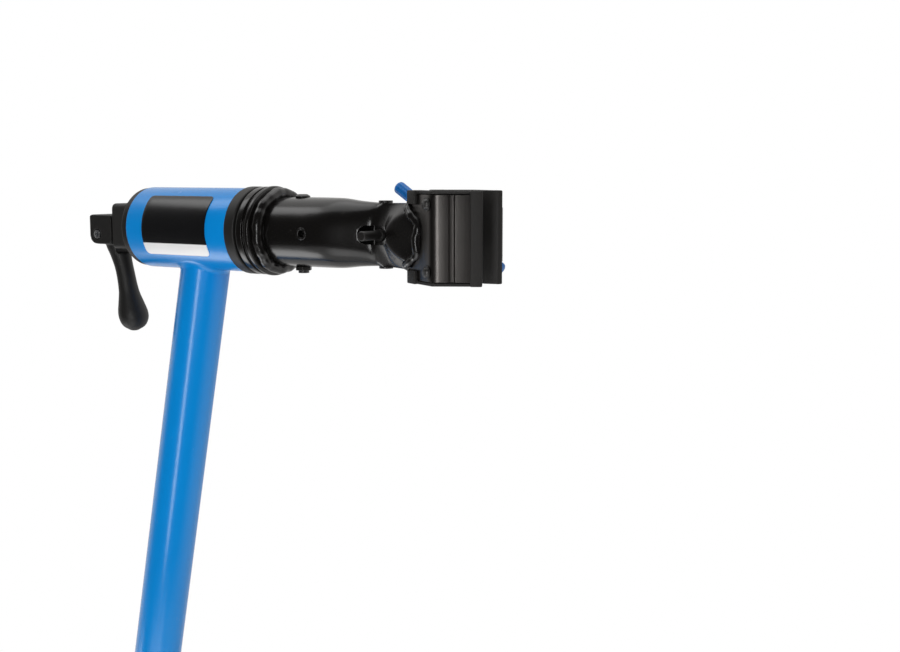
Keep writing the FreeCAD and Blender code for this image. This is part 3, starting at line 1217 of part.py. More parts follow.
def finish():
    """Recompute, check every object and write one file for each sub-part."""
    doc.recompute()
    bad = [thing.Name for thing in doc.Objects if "Invalid" in thing.State or "Error" in thing.State]
    if bad:
        raise RuntimeError("objects that did not build: " + ", ".join(bad))
    os.makedirs("parts", exist_ok=True)
    for thing in nodes:
        shape = thing.Shape
        if shape.isNull() or not shape.isValid() or not shape.Solids:
            raise RuntimeError("bad shape: " + thing.Label)
        shape.exportStep("parts/%s.step" % thing.Label)
        box = shape.BoundBox
        print("%-24s solids %d volume %9.0f x %7.1f %7.1f y %7.1f %7.1f z %7.1f %7.1f" % (
            thing.Label, len(shape.Solids), shape.Volume,
            box.XMin, box.XMax, box.YMin, box.YMax, box.ZMin, box.ZMax))
    print("nodes", len(nodes))


make_lower_mast()
make_height_clamp()
make_strut_bracket()
make_leg_collar()
make_leg(1, "left_leg")
make_leg(-1, "right_leg")
make_upper_mast()
make_head_bearings()
make_cam_lever()
make_spindle()
make_arm()
make_jaw(-1, "fixed_jaw", "Dim.rubber_left + 12")
make_jaw(1, "moving_jaw", "Dim.moving_left")
make_jaw_lever()
make_screw()
finish()
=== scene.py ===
import json
import math
import bmesh
import bpy
from mathutils import Matrix, Vector

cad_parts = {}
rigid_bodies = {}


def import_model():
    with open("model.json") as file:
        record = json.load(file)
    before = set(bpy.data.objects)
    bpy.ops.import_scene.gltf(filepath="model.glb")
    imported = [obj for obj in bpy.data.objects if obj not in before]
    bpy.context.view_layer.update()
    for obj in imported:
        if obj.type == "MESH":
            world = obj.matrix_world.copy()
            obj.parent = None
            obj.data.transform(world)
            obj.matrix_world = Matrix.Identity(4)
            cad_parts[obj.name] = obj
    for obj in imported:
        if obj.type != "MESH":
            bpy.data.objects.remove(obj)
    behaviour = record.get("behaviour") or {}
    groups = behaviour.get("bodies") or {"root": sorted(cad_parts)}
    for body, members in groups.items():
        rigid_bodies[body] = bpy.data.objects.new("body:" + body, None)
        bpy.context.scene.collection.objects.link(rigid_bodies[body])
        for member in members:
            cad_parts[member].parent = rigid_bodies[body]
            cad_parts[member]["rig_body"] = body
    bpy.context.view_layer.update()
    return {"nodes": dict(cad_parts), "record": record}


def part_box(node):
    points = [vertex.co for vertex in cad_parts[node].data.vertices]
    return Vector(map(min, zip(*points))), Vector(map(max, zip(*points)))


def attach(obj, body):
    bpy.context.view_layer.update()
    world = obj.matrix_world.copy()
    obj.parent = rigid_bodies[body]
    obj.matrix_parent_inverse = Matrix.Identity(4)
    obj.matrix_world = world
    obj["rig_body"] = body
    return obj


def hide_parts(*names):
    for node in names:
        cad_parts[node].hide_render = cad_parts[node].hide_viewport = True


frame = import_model()
nodes = frame["nodes"]

# Folding repair stand: the visible pieces and finishes of mast, clamp head, arm, jaws, legs and struts.
# Lengths of the pieces are in millimetres, in the frame of the head: X along the arm, Y away from the
# badge side and Z up. Outlines and profiles list corners with their radius.

MM = 0.001
TURN = 2 * math.pi
POINT_R = 1e-6
MERGE_DISTANCE = 2e-6
FLAT_ANGLE = 0.003

# Head and mast
MAST_LEAN = math.radians(11.2)
MAST_REACH = 1356
MAST_R = 19.0
HEAD = Vector((MAST_REACH * math.sin(MAST_LEAN), 0, MAST_REACH * math.cos(MAST_LEAN))) * MM
HEAD_FRAME = Matrix.Translation(HEAD)
ALONG_Y = Matrix.Rotation(math.pi / 2, 4, "Z")
ALONG_Z = Matrix.Rotation(-math.pi / 2, 4, "Y")
FACING_NEAR = HEAD_FRAME @ Matrix.Rotation(math.pi / 2, 4, "X")
FACING_REAR = HEAD_FRAME @ Matrix(((0, 0, -1, 0), (1, 0, 0, 0), (0, 1, 0, 0), (0, 0, 0, 1)))
HEAD_R = 31.75
HEAD_WALL = 2.5
HEAD_REAR = -59.8
HEAD_FRONT = 42.6
HEAD_RIM = 0.9
HEAD_SIDES = 128
HEAD_INNER_RIM = 0.4
WELD_LEG = 4.2
WELD_RIPPLE = 2.4
WELD_RIPPLE_DEPTH = 0.05
WELD_STEPS = 128
WELD_ARC = (0, 0.2, 0.4, 0.6, 0.8, 1)
WELD_HIDDEN = (0.98, 0.97, 0.985)

# Badge: angles of its edges above and below the middle, its plan and its pale strip
BADGE_REAR = -42.0
BADGE_FRONT = 23.4
BADGE_TOP = 52.3
BADGE_LOW = 36.9
BADGE_GAP = 0.05
BADGE_T = 0.55
BADGE_CORNER = 4.2
BADGE_STRIP = -10.5
BADGE_STRIP_EDGE = 0.4
BADGE_ROWS = 24
BADGE_RIM = 0.15

# Turned parts: place along X, radius, corner radius
FLANGE_START = 54.3
FLANGE_RIM = 66.6
FLANGE_END = 74.5
FLANGE_R = 33.5
BUSHING_END = FLANGE_START - 1.9
FRONT_BUSHING = ((38, 22, 0), (BUSHING_END, 22, 0), (BUSHING_END, 33, 1.5), (42.7, 33, 1.5), (42.7, 29, 0),
                 (38, 29, 0))
THRUST_WASHER = ((52.5, 20, 0), (54.3, 20, 0), (54.3, 31, 0.5), (52.5, 31, 0.5))
ARM_FLANGE = ((54.35, 16, 0), (54.35, 33, 1.4), (60.2, 33, 1.4), (60.2, 31.4, 0.5), (63.2, 31.4, 0.5),
              (63.2, FLANGE_R, 1.2), (FLANGE_RIM, FLANGE_R, 1.5), (FLANGE_RIM + 1.2, 28, 1.0),
              (FLANGE_END, 25.6, 0), (FLANGE_END, 16, 0))
REAR_BUSHING = ((-59.85, 17, 0), (-59.85, 31, 0.8), (-65.8, 31, 1.6), (-65.8, 17, 0))
SCREW_POINT = ((-29.9, 0, 0), (-29.9, 2.9, 0.5), (-29.2, 3.4, 0.4), (-10, 3.4, 0.2), (-10, 4.0, 0),
               (-6, 4.0, 0), (-6, 0, 0))
SCREW_NECK = ((25.5, 0, 0), (25.5, 4.0, 0), (27.2, 4.0, 0), (27.2, 8, 0.6), (29.9, 8, 0.6), (29.9, 4.8, 0),
              (46.1, 4.8, 0), (46.1, 8, 0.6), (49, 8, 0.8), (50, 7, 1), (77, 7, 0.8), (77, 0, 0))

# Saddle of the cam lever: plan corners and span of its plate and boss
SADDLE_PLATE = ((-16, -19, 7), (16, -19, 7), (16, 20, 7), (-16, 20, 7))
SADDLE_PLATE_SPAN = (65.9, 77.5)
SADDLE_BOSS = ((-15, -18, 5), (15, -18, 5), (15, 18.6, 5), (-15, 18.6, 5))
SADDLE_BOSS_SPAN = (70, 92.6)
SADDLE_EDGE = 1.6

# Cam lever: side view of its block, and its grip as level, place along X and radius
LEVER_PIN = (-110.7, -6.7)
LEVER_BORE = 4.3
LEVER_BLOCK = ((-118.9, -14.6, 8.2), (-118.9, 9.3, 2.5), (-94.5, 9.3, 3), (-94.5, -14.6, 4))
LEVER_HALF = 15
LEVER_SPINE = ((-6, -104, 10.0), (-16, -102, 10.0), (-25, -99.4, 8.3), (-36.7, -95.6, 7.5),
               (-53, -91.8, 8.2), (-62, -89.6, 10.2), (-70, -87.8, 12.0), (-76, -87.0, 11.7),
               (-82, -86.8, 8.6), (-85.6, -86.8, 2.6))
LEVER_ROOT = -6
LEVER_TIP = -85.6
LEVER_STEPS = 60
LEVER_SIDES = 48
LEVER_GAP = ((-96.5, -9.2, -22), (-70, 9.2, 30))
LEVER_VOXEL = 0.75
LEVER_SMOOTHING = 5

# Weld beads: the ring as place, ring radius and bead radius, and the bead along steps of the tube's section
BEAD_STEP = 0.4
BEAD_SWELL = 0.035
BEAD_GRAIN = 120.0
BEAD_SIDES = 20
RING_WELD = (71.4, 27.4, 4.7)
RING_WELD_RIPPLE = 9.0
RING_WELD_LUMP = 0.2
RING_WELD_STEPS = 160
JAW_WELD_R = 3.5
JAW_WELD_RIPPLE = 6.5
JAW_WELD_LUMP = 0.45
JAW_WELD_OUT = 0.4
JAW_WELD_STEPS = slice(39, 89)
JAW_WELD_WANDER = 1.3
JAW_WELD_BEND = 0.42
JAW_WELD_BACK = 1.0
WELD_SMOOTH = 1.2

# Arm tube: tables give a size at places along X
ARM_WALL = 2.2
ARM_SIDES = 128
ARM_END = 196.0
ARM_LIP = 209.0
CREASE_X = 163.0
ROUND_STEPS = 66
FLARE_STEPS = 36
PINCH = ((70, 25.4), (100, 25.4), (116, 25.3), (128, 24.0), (147, 18.0), (163, 12.6))
NEAR_FLARE = ((163, 12.6), (168, 14.0), (176, 15.8), (188, 18.0), (197, 19.6), (204, 20.9), (209, 21.8))
FAR_FLARE = ((163, 12.6), (170, 14.3), (178, 15.0), (209, 15.4))
HALF_HEIGHT = ((70, 25.4), (128, 25.3), (147, 23.4), (163, 22.5), (188, 22.6), (200, 23.2), (209, 23.6))
SQUARENESS = ((70, 2.0), (120, 2.0), (150, 2.1), (163, 2.2), (209, 2.3))
ROOF = ((160, 0.0), (163, 0.3), (168, 1.0), (199, 1.0), (208, 0.0))
ROOF_RIDGE = ((163, 1.0), (174, 1.5), (178, 6.5), (184, 11.5), (192, 15.0), (201, 17.0), (209, 20.0))
ROOF_EDGE = ((163, 5.5), (176, 6.0), (184, 8.0), (193, 12.0), (203, 17.0), (209, 21.5))
ROOF_SOFT = 1.8
SLOT_X = 165.5
SLOT_HALF = 12.5
SLOT_R = 6.7
STOP_X = 110.3
STOP_HOLE = 4.55
NUT_X = 166.6
PIN_HOLE = 5.3
REAR_OPENING = (84.0, 126.0, 20.5)
OPENING_CORNER = 4
CUT_REACH = 40
ARM_EDGE = 0.5
END_PLATE_EDGE = 1.0

# Jaws: places are measured from the bend of the plates
JAW_X = 225.0
JAW_TILT = math.radians(30)
JAW_APEX = 28.29
JAW_SHIFT = -2.94
STEEL_T = 3.0
STEEL_HALF = 29.5
STEEL_GAP = 0.45
STEEL_RIGHT = 23.8
FIXED_LEFT = 29.0
MOVING_LEFT = 22.0
GROOVE = (9.8, 13.7, 1.0)
GROOVE_SLOPE = 0.9
PLAN_ROUNDS = (0.4, 9.0, 0.5, 0.7, 0.7, 0.5, 0.4, 0.4, 6.0, 0.4)
NOTCH_LEVEL = 22.5
NOTCH_RIGHT = -18
PLATE_FACE = 196.02
RIVET_T = 5.6
RIVET_Z = 22.7
FIXED_RIVET_R = 4.7
MOVING_RIVET_R = 3.6
STEEL_EDGE = 0.5
COVER_EDGE = 1.1

# Clamp screw, and the caps of the sliding bar as place, radius and depth of the ribs
THREAD_R = 4.85
THREAD_DEPTH = 0.75
THREAD_PITCH = 2.0
THREAD_START = -9.8
THREAD_RUN = 35.6
THREAD_STEPS = 210
THREAD_SIDES = 32
CAP_START = -11.4
CAP_END = 12.0
CAP_RIBS = 10
CAP_SIDES = 80
CAP_PROFILE = ((-11.4, 4.0, 0.0), (-11.1, 4.7, 0.0), (-10.2, 5.15, 0.0), (-9.0, 5.15, 0.5), (8.0, 5.15, 0.5),
               (9.4, 5.1, 0.2), (10.6, 4.6, 0.0), (11.5, 3.6, 0.0), (11.9, 2.0, 0.0))

# Studio, in metres from the middle of the head: lamps as name, place, aim, width, height and watts
OPENING = (0.2, -0.98, 0.0)
OPENING_EDGE = (-0.35, 0.50)
OPENING_LEVEL = 0.05
OPENING_TINT = (1.0, 0.97, 0.95)
TENT_LEVEL = 0.85
TENT_TINT = (1.0, 0.985, 0.97)
FLOOR_GLOW = 0.72
FLOOR_SPAN = 1.7
FLOOR_SIDES = 96
LAMPS = (("strip", (0.54, -1.42, -0.15), (0, 0, -0.15), 0.26, 1.5, 9.0),
         ("front", (1.0, -1.3, 0.6), (0, 0, 0), 1.3, 1.3, 16.0),
         ("top", (-0.1, 0.2, 1.7), (-0.1, 0.2, 0), 1.6, 2.0, 10.0),
         ("low", (0.25, -0.75, -1.15), (0, 0, 0), 1.0, 0.6, 2.5),
         ("upper side", (-0.52, -0.19, 0.70), (0.18, 0, 0), 0.34, 0.34, 0.8),
         ("lower side", (-0.52, -0.19, -0.70), (0.18, 0, 0), 0.34, 0.34, 1.1))
UNMIRRORED_LAMP = "front"
CAMERA_PLACE = (0.6769, -0.7254, 0.0454)
CAMERA_AZIMUTH = math.radians(32.2)
CAMERA_PITCH = math.radians(7.12)
CAMERA_LENS = 50.0
CAMERA_SENSOR = 36.0
CAMERA_REACH = 50.0


# Node trees

class Wire:
    """One output in a node tree: sums and products of wires add Math nodes."""

    def __init__(self, owner, socket):
        self.owner = owner
        self.socket = socket

    def maths(self, operation, *values):
        return self.owner.node("ShaderNodeMath", {"operation": operation}, dict(enumerate(values)))

    def __add__(self, other):
        return self.maths("ADD", self, other)

    def __radd__(self, other):
        return self.maths("ADD", other, self)

    def __sub__(self, other):
        return self.maths("SUBTRACT", self, other)

    def __rsub__(self, other):
        return self.maths("SUBTRACT", other, self)

    def __mul__(self, other):
        return self.maths("MULTIPLY", self, other)

    def __rmul__(self, other):
        return self.maths("MULTIPLY", other, self)

    def __truediv__(self, other):
        return self.maths("DIVIDE", self, other)

    def __pow__(self, other):
        return self.maths("POWER", self, other)

    def clamped(self):
        return self.maths("MINIMUM", self.maths("MAXIMUM", self, 0.0), 1.0)

    def above(self, edge, soft):
        """0 under the edge and 1 over it, across a soft band."""
        return ((self - (edge - soft / 2)) / soft).clamped()


class Tree:
    """A node tree under construction."""

    def __init__(self, tree):
        self.tree = tree

    def fill(self, slot, value):
        """Link a wire into a socket, or set the socket's own value."""
        if isinstance(value, Wire):
            self.tree.links.new(value.socket, slot)
        elif hasattr(slot.default_value, "__len__") and len(slot.default_value) == 4 and len(value) == 3:
            slot.default_value = (*value, 1.0)
        else:
            slot.default_value = value

    def node(self, kind, settings=None, inputs=None, out=0):
        """One output of a new node, whose settings are made before its sockets are filled."""
        made = self.tree.nodes.new(kind)
        for name, value in (settings or {}).items():
            setattr(made, name, value)
        for name, value in (inputs or {}).items():
            self.fill(made.inputs[name], value)
        return Wire(self, made.outputs[out])


class Finish(Tree):
    """A material under construction around one Principled shader."""

    def __init__(self, name, **values):
        self.material = bpy.data.materials.new(name)
        self.material.use_nodes = True
        super().__init__(self.material.node_tree)
        self.shader = self.tree.nodes["Principled BSDF"]
        self.set(**values)

    def set(self, **values):
        for name, value in values.items():
            self.fill(self.shader.inputs[name.replace("_", " ")], value)

    def place(self):
        return self.node("ShaderNodeTexCoord", out="Object")

    def axis(self, name):
        return self.node("ShaderNodeSeparateXYZ", None, {0: self.place()}, name)

    def stretched(self, scale):
        return self.node("ShaderNodeMapping", None, {"Vector": self.place(), "Scale": scale})

    def noise(self, scale, detail=3.0, rough=0.5, place=None):
        inputs = {"Vector": place or self.place(), "Scale": scale, "Detail": detail, "Roughness": rough}
        return self.node("ShaderNodeTexNoise", None, inputs)

    def mix(self, factor, first, second):
        return self.node("ShaderNodeMix", {"data_type": "RGBA"}, {0: factor, 6: first, 7: second}, 2)

    def bump(self, height, distance, strength):
        inputs = {"Height": height, "Distance": distance, "Strength": strength}
        self.set(Normal=self.node("ShaderNodeBump", None, inputs, "Normal"))


# Finishes

def blue_powder_coat():
    """Bright blue powder coat with its fine orange peel and soft gloss."""
    coat = Finish("blue powder coat", Specular_IOR_Level=0.5)
    cloud = coat.noise(7.0, 2.0)
    base = coat.mix(cloud, (0.0, 0.205, 0.58), (0.0, 0.235, 0.64))
    dust = coat.noise(60.0, 4.0, 0.65).above(0.72, 0.12)
    coat.set(Base_Color=coat.mix(dust * 0.10, base, (0.35, 0.42, 0.5)))
    coat.set(Roughness=0.20 + 0.06 * coat.noise(35.0, 3.0) + 0.08 * dust)
    coat.bump(coat.noise(650.0, 2.0), 0.00004, 0.5)
    return coat.material


def black_powder_coat():
    """Black coat on steel: fine peel, faint dust and a slightly brown black."""
    coat = Finish("black powder coat", Specular_IOR_Level=0.5)
    cloud = coat.noise(14.0, 3.0)
    base = coat.mix(cloud, (0.0020, 0.0018, 0.0017), (0.0045, 0.0041, 0.0038))
    dust = coat.noise(90.0, 5.0, 0.7).above(0.70, 0.12)
    coat.set(Base_Color=coat.mix(dust * 0.10, base, (0.14, 0.13, 0.12)))
    coat.set(Roughness=0.17 + 0.08 * coat.noise(45.0, 3.0) + 0.10 * dust)
    coat.bump(coat.noise(520.0, 2.0), 0.00004, 0.5)
    return coat.material


def black_nylon():
    """Moulded black nylon with a fine grained surface."""
    nylon = Finish("black nylon", Specular_IOR_Level=0.45)
    cloud = nylon.noise(22.0, 3.0)
    grain = nylon.noise(1400.0, 2.0)
    nylon.set(Base_Color=nylon.mix(cloud, (0.0040, 0.0038, 0.0036), (0.0085, 0.0081, 0.0077)))
    nylon.set(Roughness=0.46 + 0.12 * grain)
    nylon.bump(grain, 0.00006, 0.8)
    return nylon.material


def black_rubber():
    """Soft black rubber, dull, with a faint bloom."""
    rubber = Finish("black rubber", Specular_IOR_Level=0.4)
    bloom = rubber.noise(30.0, 4.0, 0.6)
    grain = rubber.noise(900.0, 3.0)
    rubber.set(Base_Color=rubber.mix(bloom, (0.0070, 0.0065, 0.0061), (0.0150, 0.0140, 0.0131)))
    rubber.set(Roughness=0.55 + 0.20 * bloom)
    rubber.bump(grain, 0.00008, 0.7)
    return rubber.material


def jaw_steel():
    """Dark satin steel of the pressed jaw plates, drawn along its height."""
    steel = Finish("jaw steel", Metallic=1.0)
    drawn = steel.noise(1.0, 4.0, 0.6, steel.stretched((700.0, 700.0, 9.0)))
    cloud = steel.noise(26.0, 3.0)
    steel.set(Base_Color=steel.mix(cloud, (0.062, 0.058, 0.055), (0.088, 0.083, 0.080)))
    steel.set(Roughness=0.24 + 0.12 * drawn)
    steel.bump(drawn, 0.00002, 0.5)
    return steel.material


def zinc_steel():
    """Zinc plated turned steel."""
    zinc = Finish("zinc plated steel", Metallic=1.0)
    cloud = zinc.noise(60.0, 4.0, 0.6)
    zinc.set(Base_Color=zinc.mix(cloud, (0.46, 0.47, 0.49), (0.62, 0.63, 0.64)))
    zinc.set(Roughness=0.26 + 0.16 * cloud)
    zinc.bump(zinc.noise(900.0, 2.0), 0.00002, 0.5)
    return zinc.material


def black_oxide():
    """Black oxide on fasteners and flat bars, slightly worn."""
    oxide = Finish("black oxide steel", Specular_IOR_Level=0.6)
    cloud = oxide.noise(30.0, 3.0)
    worn = oxide.noise(160.0, 3.0, 0.5).above(0.72, 0.3)
    base = oxide.mix(cloud, (0.0060, 0.0057, 0.0054), (0.0130, 0.0124, 0.0118))
    oxide.set(Base_Color=oxide.mix(worn * 0.25, base, (0.075, 0.072, 0.069)))
    oxide.set(Roughness=0.30 + 0.10 * cloud + 0.10 * worn)
    oxide.bump(oxide.noise(700.0, 2.0), 0.00003, 0.5)
    return oxide.material


def blue_vinyl():
    """Blue dipped vinyl grip of the sliding bar."""
    vinyl = Finish("blue vinyl", Specular_IOR_Level=0.5)
    cloud = vinyl.noise(80.0, 3.0)
    vinyl.set(Base_Color=vinyl.mix(cloud, (0.003, 0.105, 0.36), (0.008, 0.145, 0.45)))
    vinyl.set(Roughness=0.38 + 0.10 * cloud)
    vinyl.bump(vinyl.noise(900.0, 2.0), 0.00004, 0.6)
    return vinyl.material


def badge_film():
    """Glossy bare panel: black field with a plain pale strip along its lower edge."""
    film = Finish("badge film", Specular_IOR_Level=0.5)
    pale = 1.0 - film.axis("Z").above(HEAD.z + BADGE_STRIP * MM, BADGE_STRIP_EDGE * MM)
    cloud = film.noise(40.0, 2.0)
    dark = film.mix(cloud, (0.0025, 0.0026, 0.0030), (0.0050, 0.0052, 0.0060))
    light = film.mix(cloud, (0.74, 0.74, 0.74), (0.82, 0.82, 0.82))
    film.set(Base_Color=film.mix(pale, dark, light))
    film.set(Roughness=0.22 + 0.06 * cloud)
    film.bump(film.noise(300.0, 2.0), 0.00002, 0.4)
    return film.material


# Mesh helpers

def at_head(x, y, z):
    """A point given in the frame of the head."""
    return HEAD + Vector((x, y, z)) * MM


def turns(count, shift=0.0):
    """Angles of the points of a ring, which may be shifted by a part of a step."""
    return [TURN * (k + shift) / count for k in range(count)]


def finished(name, mesh, material, body, smooth=0.6):
    """Link a mesh as a finished piece that moves with a body."""
    mesh.name = name
    piece = bpy.data.objects.new(name, mesh)
    bpy.context.scene.collection.objects.link(piece)
    mesh.materials.clear()
    mesh.materials.append(material)
    mesh.shade_smooth()
    mesh.set_sharp_from_angle(angle=smooth)
    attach(piece, body)
    return piece


def standing_for(node, name, mesh, material, smooth=0.6):
    """A finished piece that takes the place of a node."""
    piece = finished(name, mesh, material, nodes[node]["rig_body"], smooth)
    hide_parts(node)


def draft(mesh):
    """A helper object that is removed before the end."""
    made = bpy.data.objects.new("draft", mesh)
    bpy.context.scene.collection.objects.link(made)
    return made


def baked(piece):
    """The plain mesh that a piece's modifiers give."""
    graph = bpy.context.evaluated_depsgraph_get()
    graph.update()
    return bpy.data.meshes.new_from_object(piece.evaluated_get(graph))


def meshed(made):
    """A mesh from a bmesh, with its normals outward."""
    bmesh.ops.recalc_face_normals(made, faces=made.faces)
    mesh = bpy.data.meshes.new("draft")
    made.to_mesh(mesh)
    made.free()
    return mesh


def interpolated(table, x):
    """Smooth value between the points of a table."""
    last = len(table) - 1
    k = max(i for i in range(last) if table[i][0] <= x or i == 0)
    (x0, y0), (x1, y1) = table[k], table[k + 1]
    span = x1 - x0
    before = table[max(k - 1, 0)]
    after = table[min(k + 2, last)]
    slope0 = (y1 - before[1]) / (x1 - before[0])
    slope1 = (after[1] - y0) / (after[0] - x0)
    t = min(max((x - x0) / span, 0.0), 1.0)
    return ((2 * t**3 - 3 * t**2 + 1) * y0 + (t**3 - 2 * t**2 + t) * span * slope0
            + (3 * t**2 - 2 * t**3) * y1 + (t**3 - t**2) * span * slope1)


def rounded(corners, closed=True, steps=5):
    """Corners (a, b, radius) as an outline whose corners are arcs."""
    outline = []
    count = len(corners)
    for i, (a, b, radius) in enumerate(corners):
        here = Vector((a, b))
        if radius == 0 or (not closed and i in (0, count - 1)):
            outline.append(here)
            continue
        before = Vector(corners[i - 1][:2]) - here
        after = Vector(corners[(i + 1) % count][:2]) - here
        longest = min(before.length * 0.49, after.length * 0.49)
        run = min(radius / math.tan(before.angle(after) / 2), longest)
        first = here + before.normalized() * run
        final = here + after.normalized() * run
        for step in range(steps + 1):
            t = step / steps
            outline.append(first.lerp(here, t).lerp(here.lerp(final, t), t))
    return outline


def skinned(rings, loop=False):
    """Mesh through rings of points; one point closes an end, and a loop joins the last ring to the first."""
    made = bmesh.new()
    rows = [[made.verts.new(point) for point in ring] for ring in rings]
    pairs = list(zip(rows, rows[1:]))
    if loop:
        pairs.append((rows[-1], rows[0]))
    for low, high in pairs:
        for k in range(max(len(low), len(high))):
            corners = (low[k % len(low)], low[(k + 1) % len(low)],
                       high[(k + 1) % len(high)], high[k % len(high)])
            face = list(dict.fromkeys(corners))
            if len(face) > 2:
                made.faces.new(face)
    if not loop:
        for row in (rows[0], rows[-1]):
            if len(row) > 2:
                made.faces.new(row)
    return meshed(made)


def hoop(place, along, radii):
    """Ring of points round the X axis of a place, each at its own radius."""
    return [place @ (Vector((along, radius * math.cos(turn), radius * math.sin(turn))) * MM)
            for turn, radius in zip(turns(len(radii)), radii)]


def turned(profile, place=HEAD_FRAME, count=96, loop=False):
    """Mesh of revolution from points (distance along X, radius)."""
    rings = [hoop(place, along, [radius] * (1 if radius < POINT_R else count)) for along, radius in profile]
    return skinned(rings, loop)


def drill(start, end, radius, place):
    """Round cutter along the X axis of a place."""
    return turned([(start, 0), (start, radius), (end, radius), (end, 0)], place, 48)


def prism(outline, low, high, place=HEAD_FRAME):
    """Solid of a plan outline between two heights."""
    return skinned([[place @ (Vector((a, b, height)) * MM) for a, b in outline] for height in (low, high)])


def box(low, high):
    """Box cutter between two corners in the frame of the head."""
    return prism([(low[0], low[1]), (high[0], low[1]), (high[0], high[1]), (low[0], high[1])],
                 low[2], high[2])


def slab(x0, x1, half, radius, steps=5):
    """Outline of a rounded rectangle that is centred on the X axis."""
    return rounded([(x0, -half, radius), (x1, -half, radius), (x1, half, radius), (x0, half, radius)],
                   steps=steps)


def carved(mesh, width, tools=(), joined=(), segments=2, angle=0.6):
    """A mesh with others joined on or cut out, and then its sharp edges rounded to a width."""
    piece = draft(mesh)
    helpers = [piece]
    for operation, others in (("UNION", joined), ("DIFFERENCE", tools)):
        for other in others:
            helper = draft(other)
            helpers.append(helper)
            modifier = piece.modifiers.new(operation, "BOOLEAN")
            modifier.operation = operation
            modifier.solver = "EXACT"
            modifier.object = helper
    if width:
        bevel = piece.modifiers.new("round", "BEVEL")
        bevel.width = width * MM
        bevel.segments = segments
        bevel.limit_method = "ANGLE"
        bevel.angle_limit = angle
    result = baked(piece)
    for helper in helpers:
        bpy.data.objects.remove(helper)
    return result


def blended(meshes, voxel, smoothing, tools):
    """Overlapping solids melted into one cast form."""
    piece = draft(carved(meshes[0], 0, tools, meshes[1:]))
    remesh = piece.modifiers.new("melt", "REMESH")
    remesh.mode = "VOXEL"
    remesh.voxel_size = voxel * MM
    smooth = piece.modifiers.new("smooth", "SMOOTH")
    smooth.factor = 0.5
    smooth.iterations = smoothing
    result = baked(piece)
    bpy.data.objects.remove(piece)
    return result


def softened(node, material, width, segments=2):
    """A node with its hard edges rounded, standing for it."""
    mesh = nodes[node].data.copy()
    made = bmesh.new()
    made.from_mesh(mesh)
    bmesh.ops.remove_doubles(made, verts=made.verts, dist=MERGE_DISTANCE)
    bmesh.ops.dissolve_degenerate(made, edges=made.edges, dist=MERGE_DISTANCE)
    bmesh.ops.dissolve_limit(made, angle_limit=FLAT_ANGLE, verts=made.verts, edges=made.edges)
    made.to_mesh(mesh)
    made.free()
    standing_for(node, "soft_" + node, carved(mesh, width, segments=segments), material)


# Weld beads

def bead_group():
    """Node group that runs a rippled bead along the curve that it is given."""
    group = bpy.data.node_groups.new("weld bead", "GeometryNodeTree")
    sockets = {"Curve": "NodeSocketGeometry", "Radius": "NodeSocketFloat", "Ripple": "NodeSocketFloat",
               "Lump": "NodeSocketFloat", "Finish": "NodeSocketMaterial"}
    for name, kind in sockets.items():
        group.interface.new_socket(name, in_out="INPUT", socket_type=kind)
    group.interface.new_socket("Mesh", in_out="OUTPUT", socket_type="NodeSocketGeometry")
    tree = Tree(group)
    source = group.nodes.new("NodeGroupInput")
    given = {name: Wire(tree, source.outputs[name]) for name in sockets}
    end = group.nodes.new("NodeGroupOutput")
    inputs = {"Curve": given["Curve"], "Length": BEAD_STEP * MM}
    fine = tree.node("GeometryNodeResampleCurve", {"mode": "LENGTH"}, inputs)
    phase = tree.node("GeometryNodeSplineParameter", out="Length") / given["Ripple"] * TURN
    ripple = phase.maths("SINE", phase) * BEAD_SWELL
    spot = tree.node("GeometryNodeInputPosition")
    noise = tree.node("ShaderNodeTexNoise", None, {"Vector": spot, "Scale": BEAD_GRAIN, "Detail": 1.5})
    lump = (noise - 0.5) * given["Lump"]
    size = (ripple + lump + 1.0) * given["Radius"]
    sized = tree.node("GeometryNodeSetCurveRadius", None, {"Curve": fine, "Radius": size})
    inputs = {"Resolution": BEAD_SIDES, "Radius": 1.0}
    ring = tree.node("GeometryNodeCurvePrimitiveCircle", None, inputs, "Curve")
    radius = tree.node("GeometryNodeInputRadius")
    inputs = {"Curve": sized, "Profile Curve": ring, "Scale": radius, "Fill Caps": True}
    tube = tree.node("GeometryNodeCurveToMesh", None, inputs)
    whole = tree.node("GeometryNodeRealizeInstances", None, {"Geometry": tube})
    done = tree.node("GeometryNodeSetMaterial", None, {"Geometry": whole, "Material": given["Finish"]})
    tree.fill(end.inputs["Mesh"], done)
    return group


def bead(points, radius, ripple, lump, closed=True):
    """Mesh of a weld bead along points given in metres."""
    curve = bpy.data.curves.new("draft", "CURVE")
    curve.dimensions = "3D"
    spline = curve.splines.new("POLY")
    spline.points.add(len(points) - 1)
    for spot, point in zip(spline.points, points):
        spot.co = (*point, 1.0)
    spline.use_cyclic_u = closed
    piece = draft(curve)
    modifier = piece.modifiers.new("bead", "NODES")
    modifier.node_group = BEAD
    values = {"Radius": radius * MM, "Ripple": ripple * MM, "Lump": lump, "Finish": BLACK}
    for item in BEAD.interface.items_tree:
        if item.in_out == "INPUT" and item.name in values:
            modifier[item.identifier] = values[item.name]
    result = baked(piece)
    bpy.data.objects.remove(piece)
    return result


# Head

def mast_seam(turn, spread=0.0, along=0.0):
    """Point where the mast meets the head, moved out over the head or down the mast."""
    side = MAST_R * math.sin(turn)
    cosine = math.cos(MAST_LEAN)
    drop = (math.sqrt(HEAD_R**2 - side**2) - MAST_R * math.cos(turn) * math.sin(MAST_LEAN)) / cosine
    across = Vector((cosine, 0, -math.sin(MAST_LEAN))) * math.cos(turn)
    outward = across + Vector((0, 1, 0)) * math.sin(turn)
    down = -Vector((math.sin(MAST_LEAN), 0, cosine))
    point = down * (drop + along) + outward * (MAST_R + spread)
    if spread:
        ring = Vector((0, point.y, point.z)).normalized() * HEAD_R
        point = Vector((point.x, ring.y, ring.z))
    return point


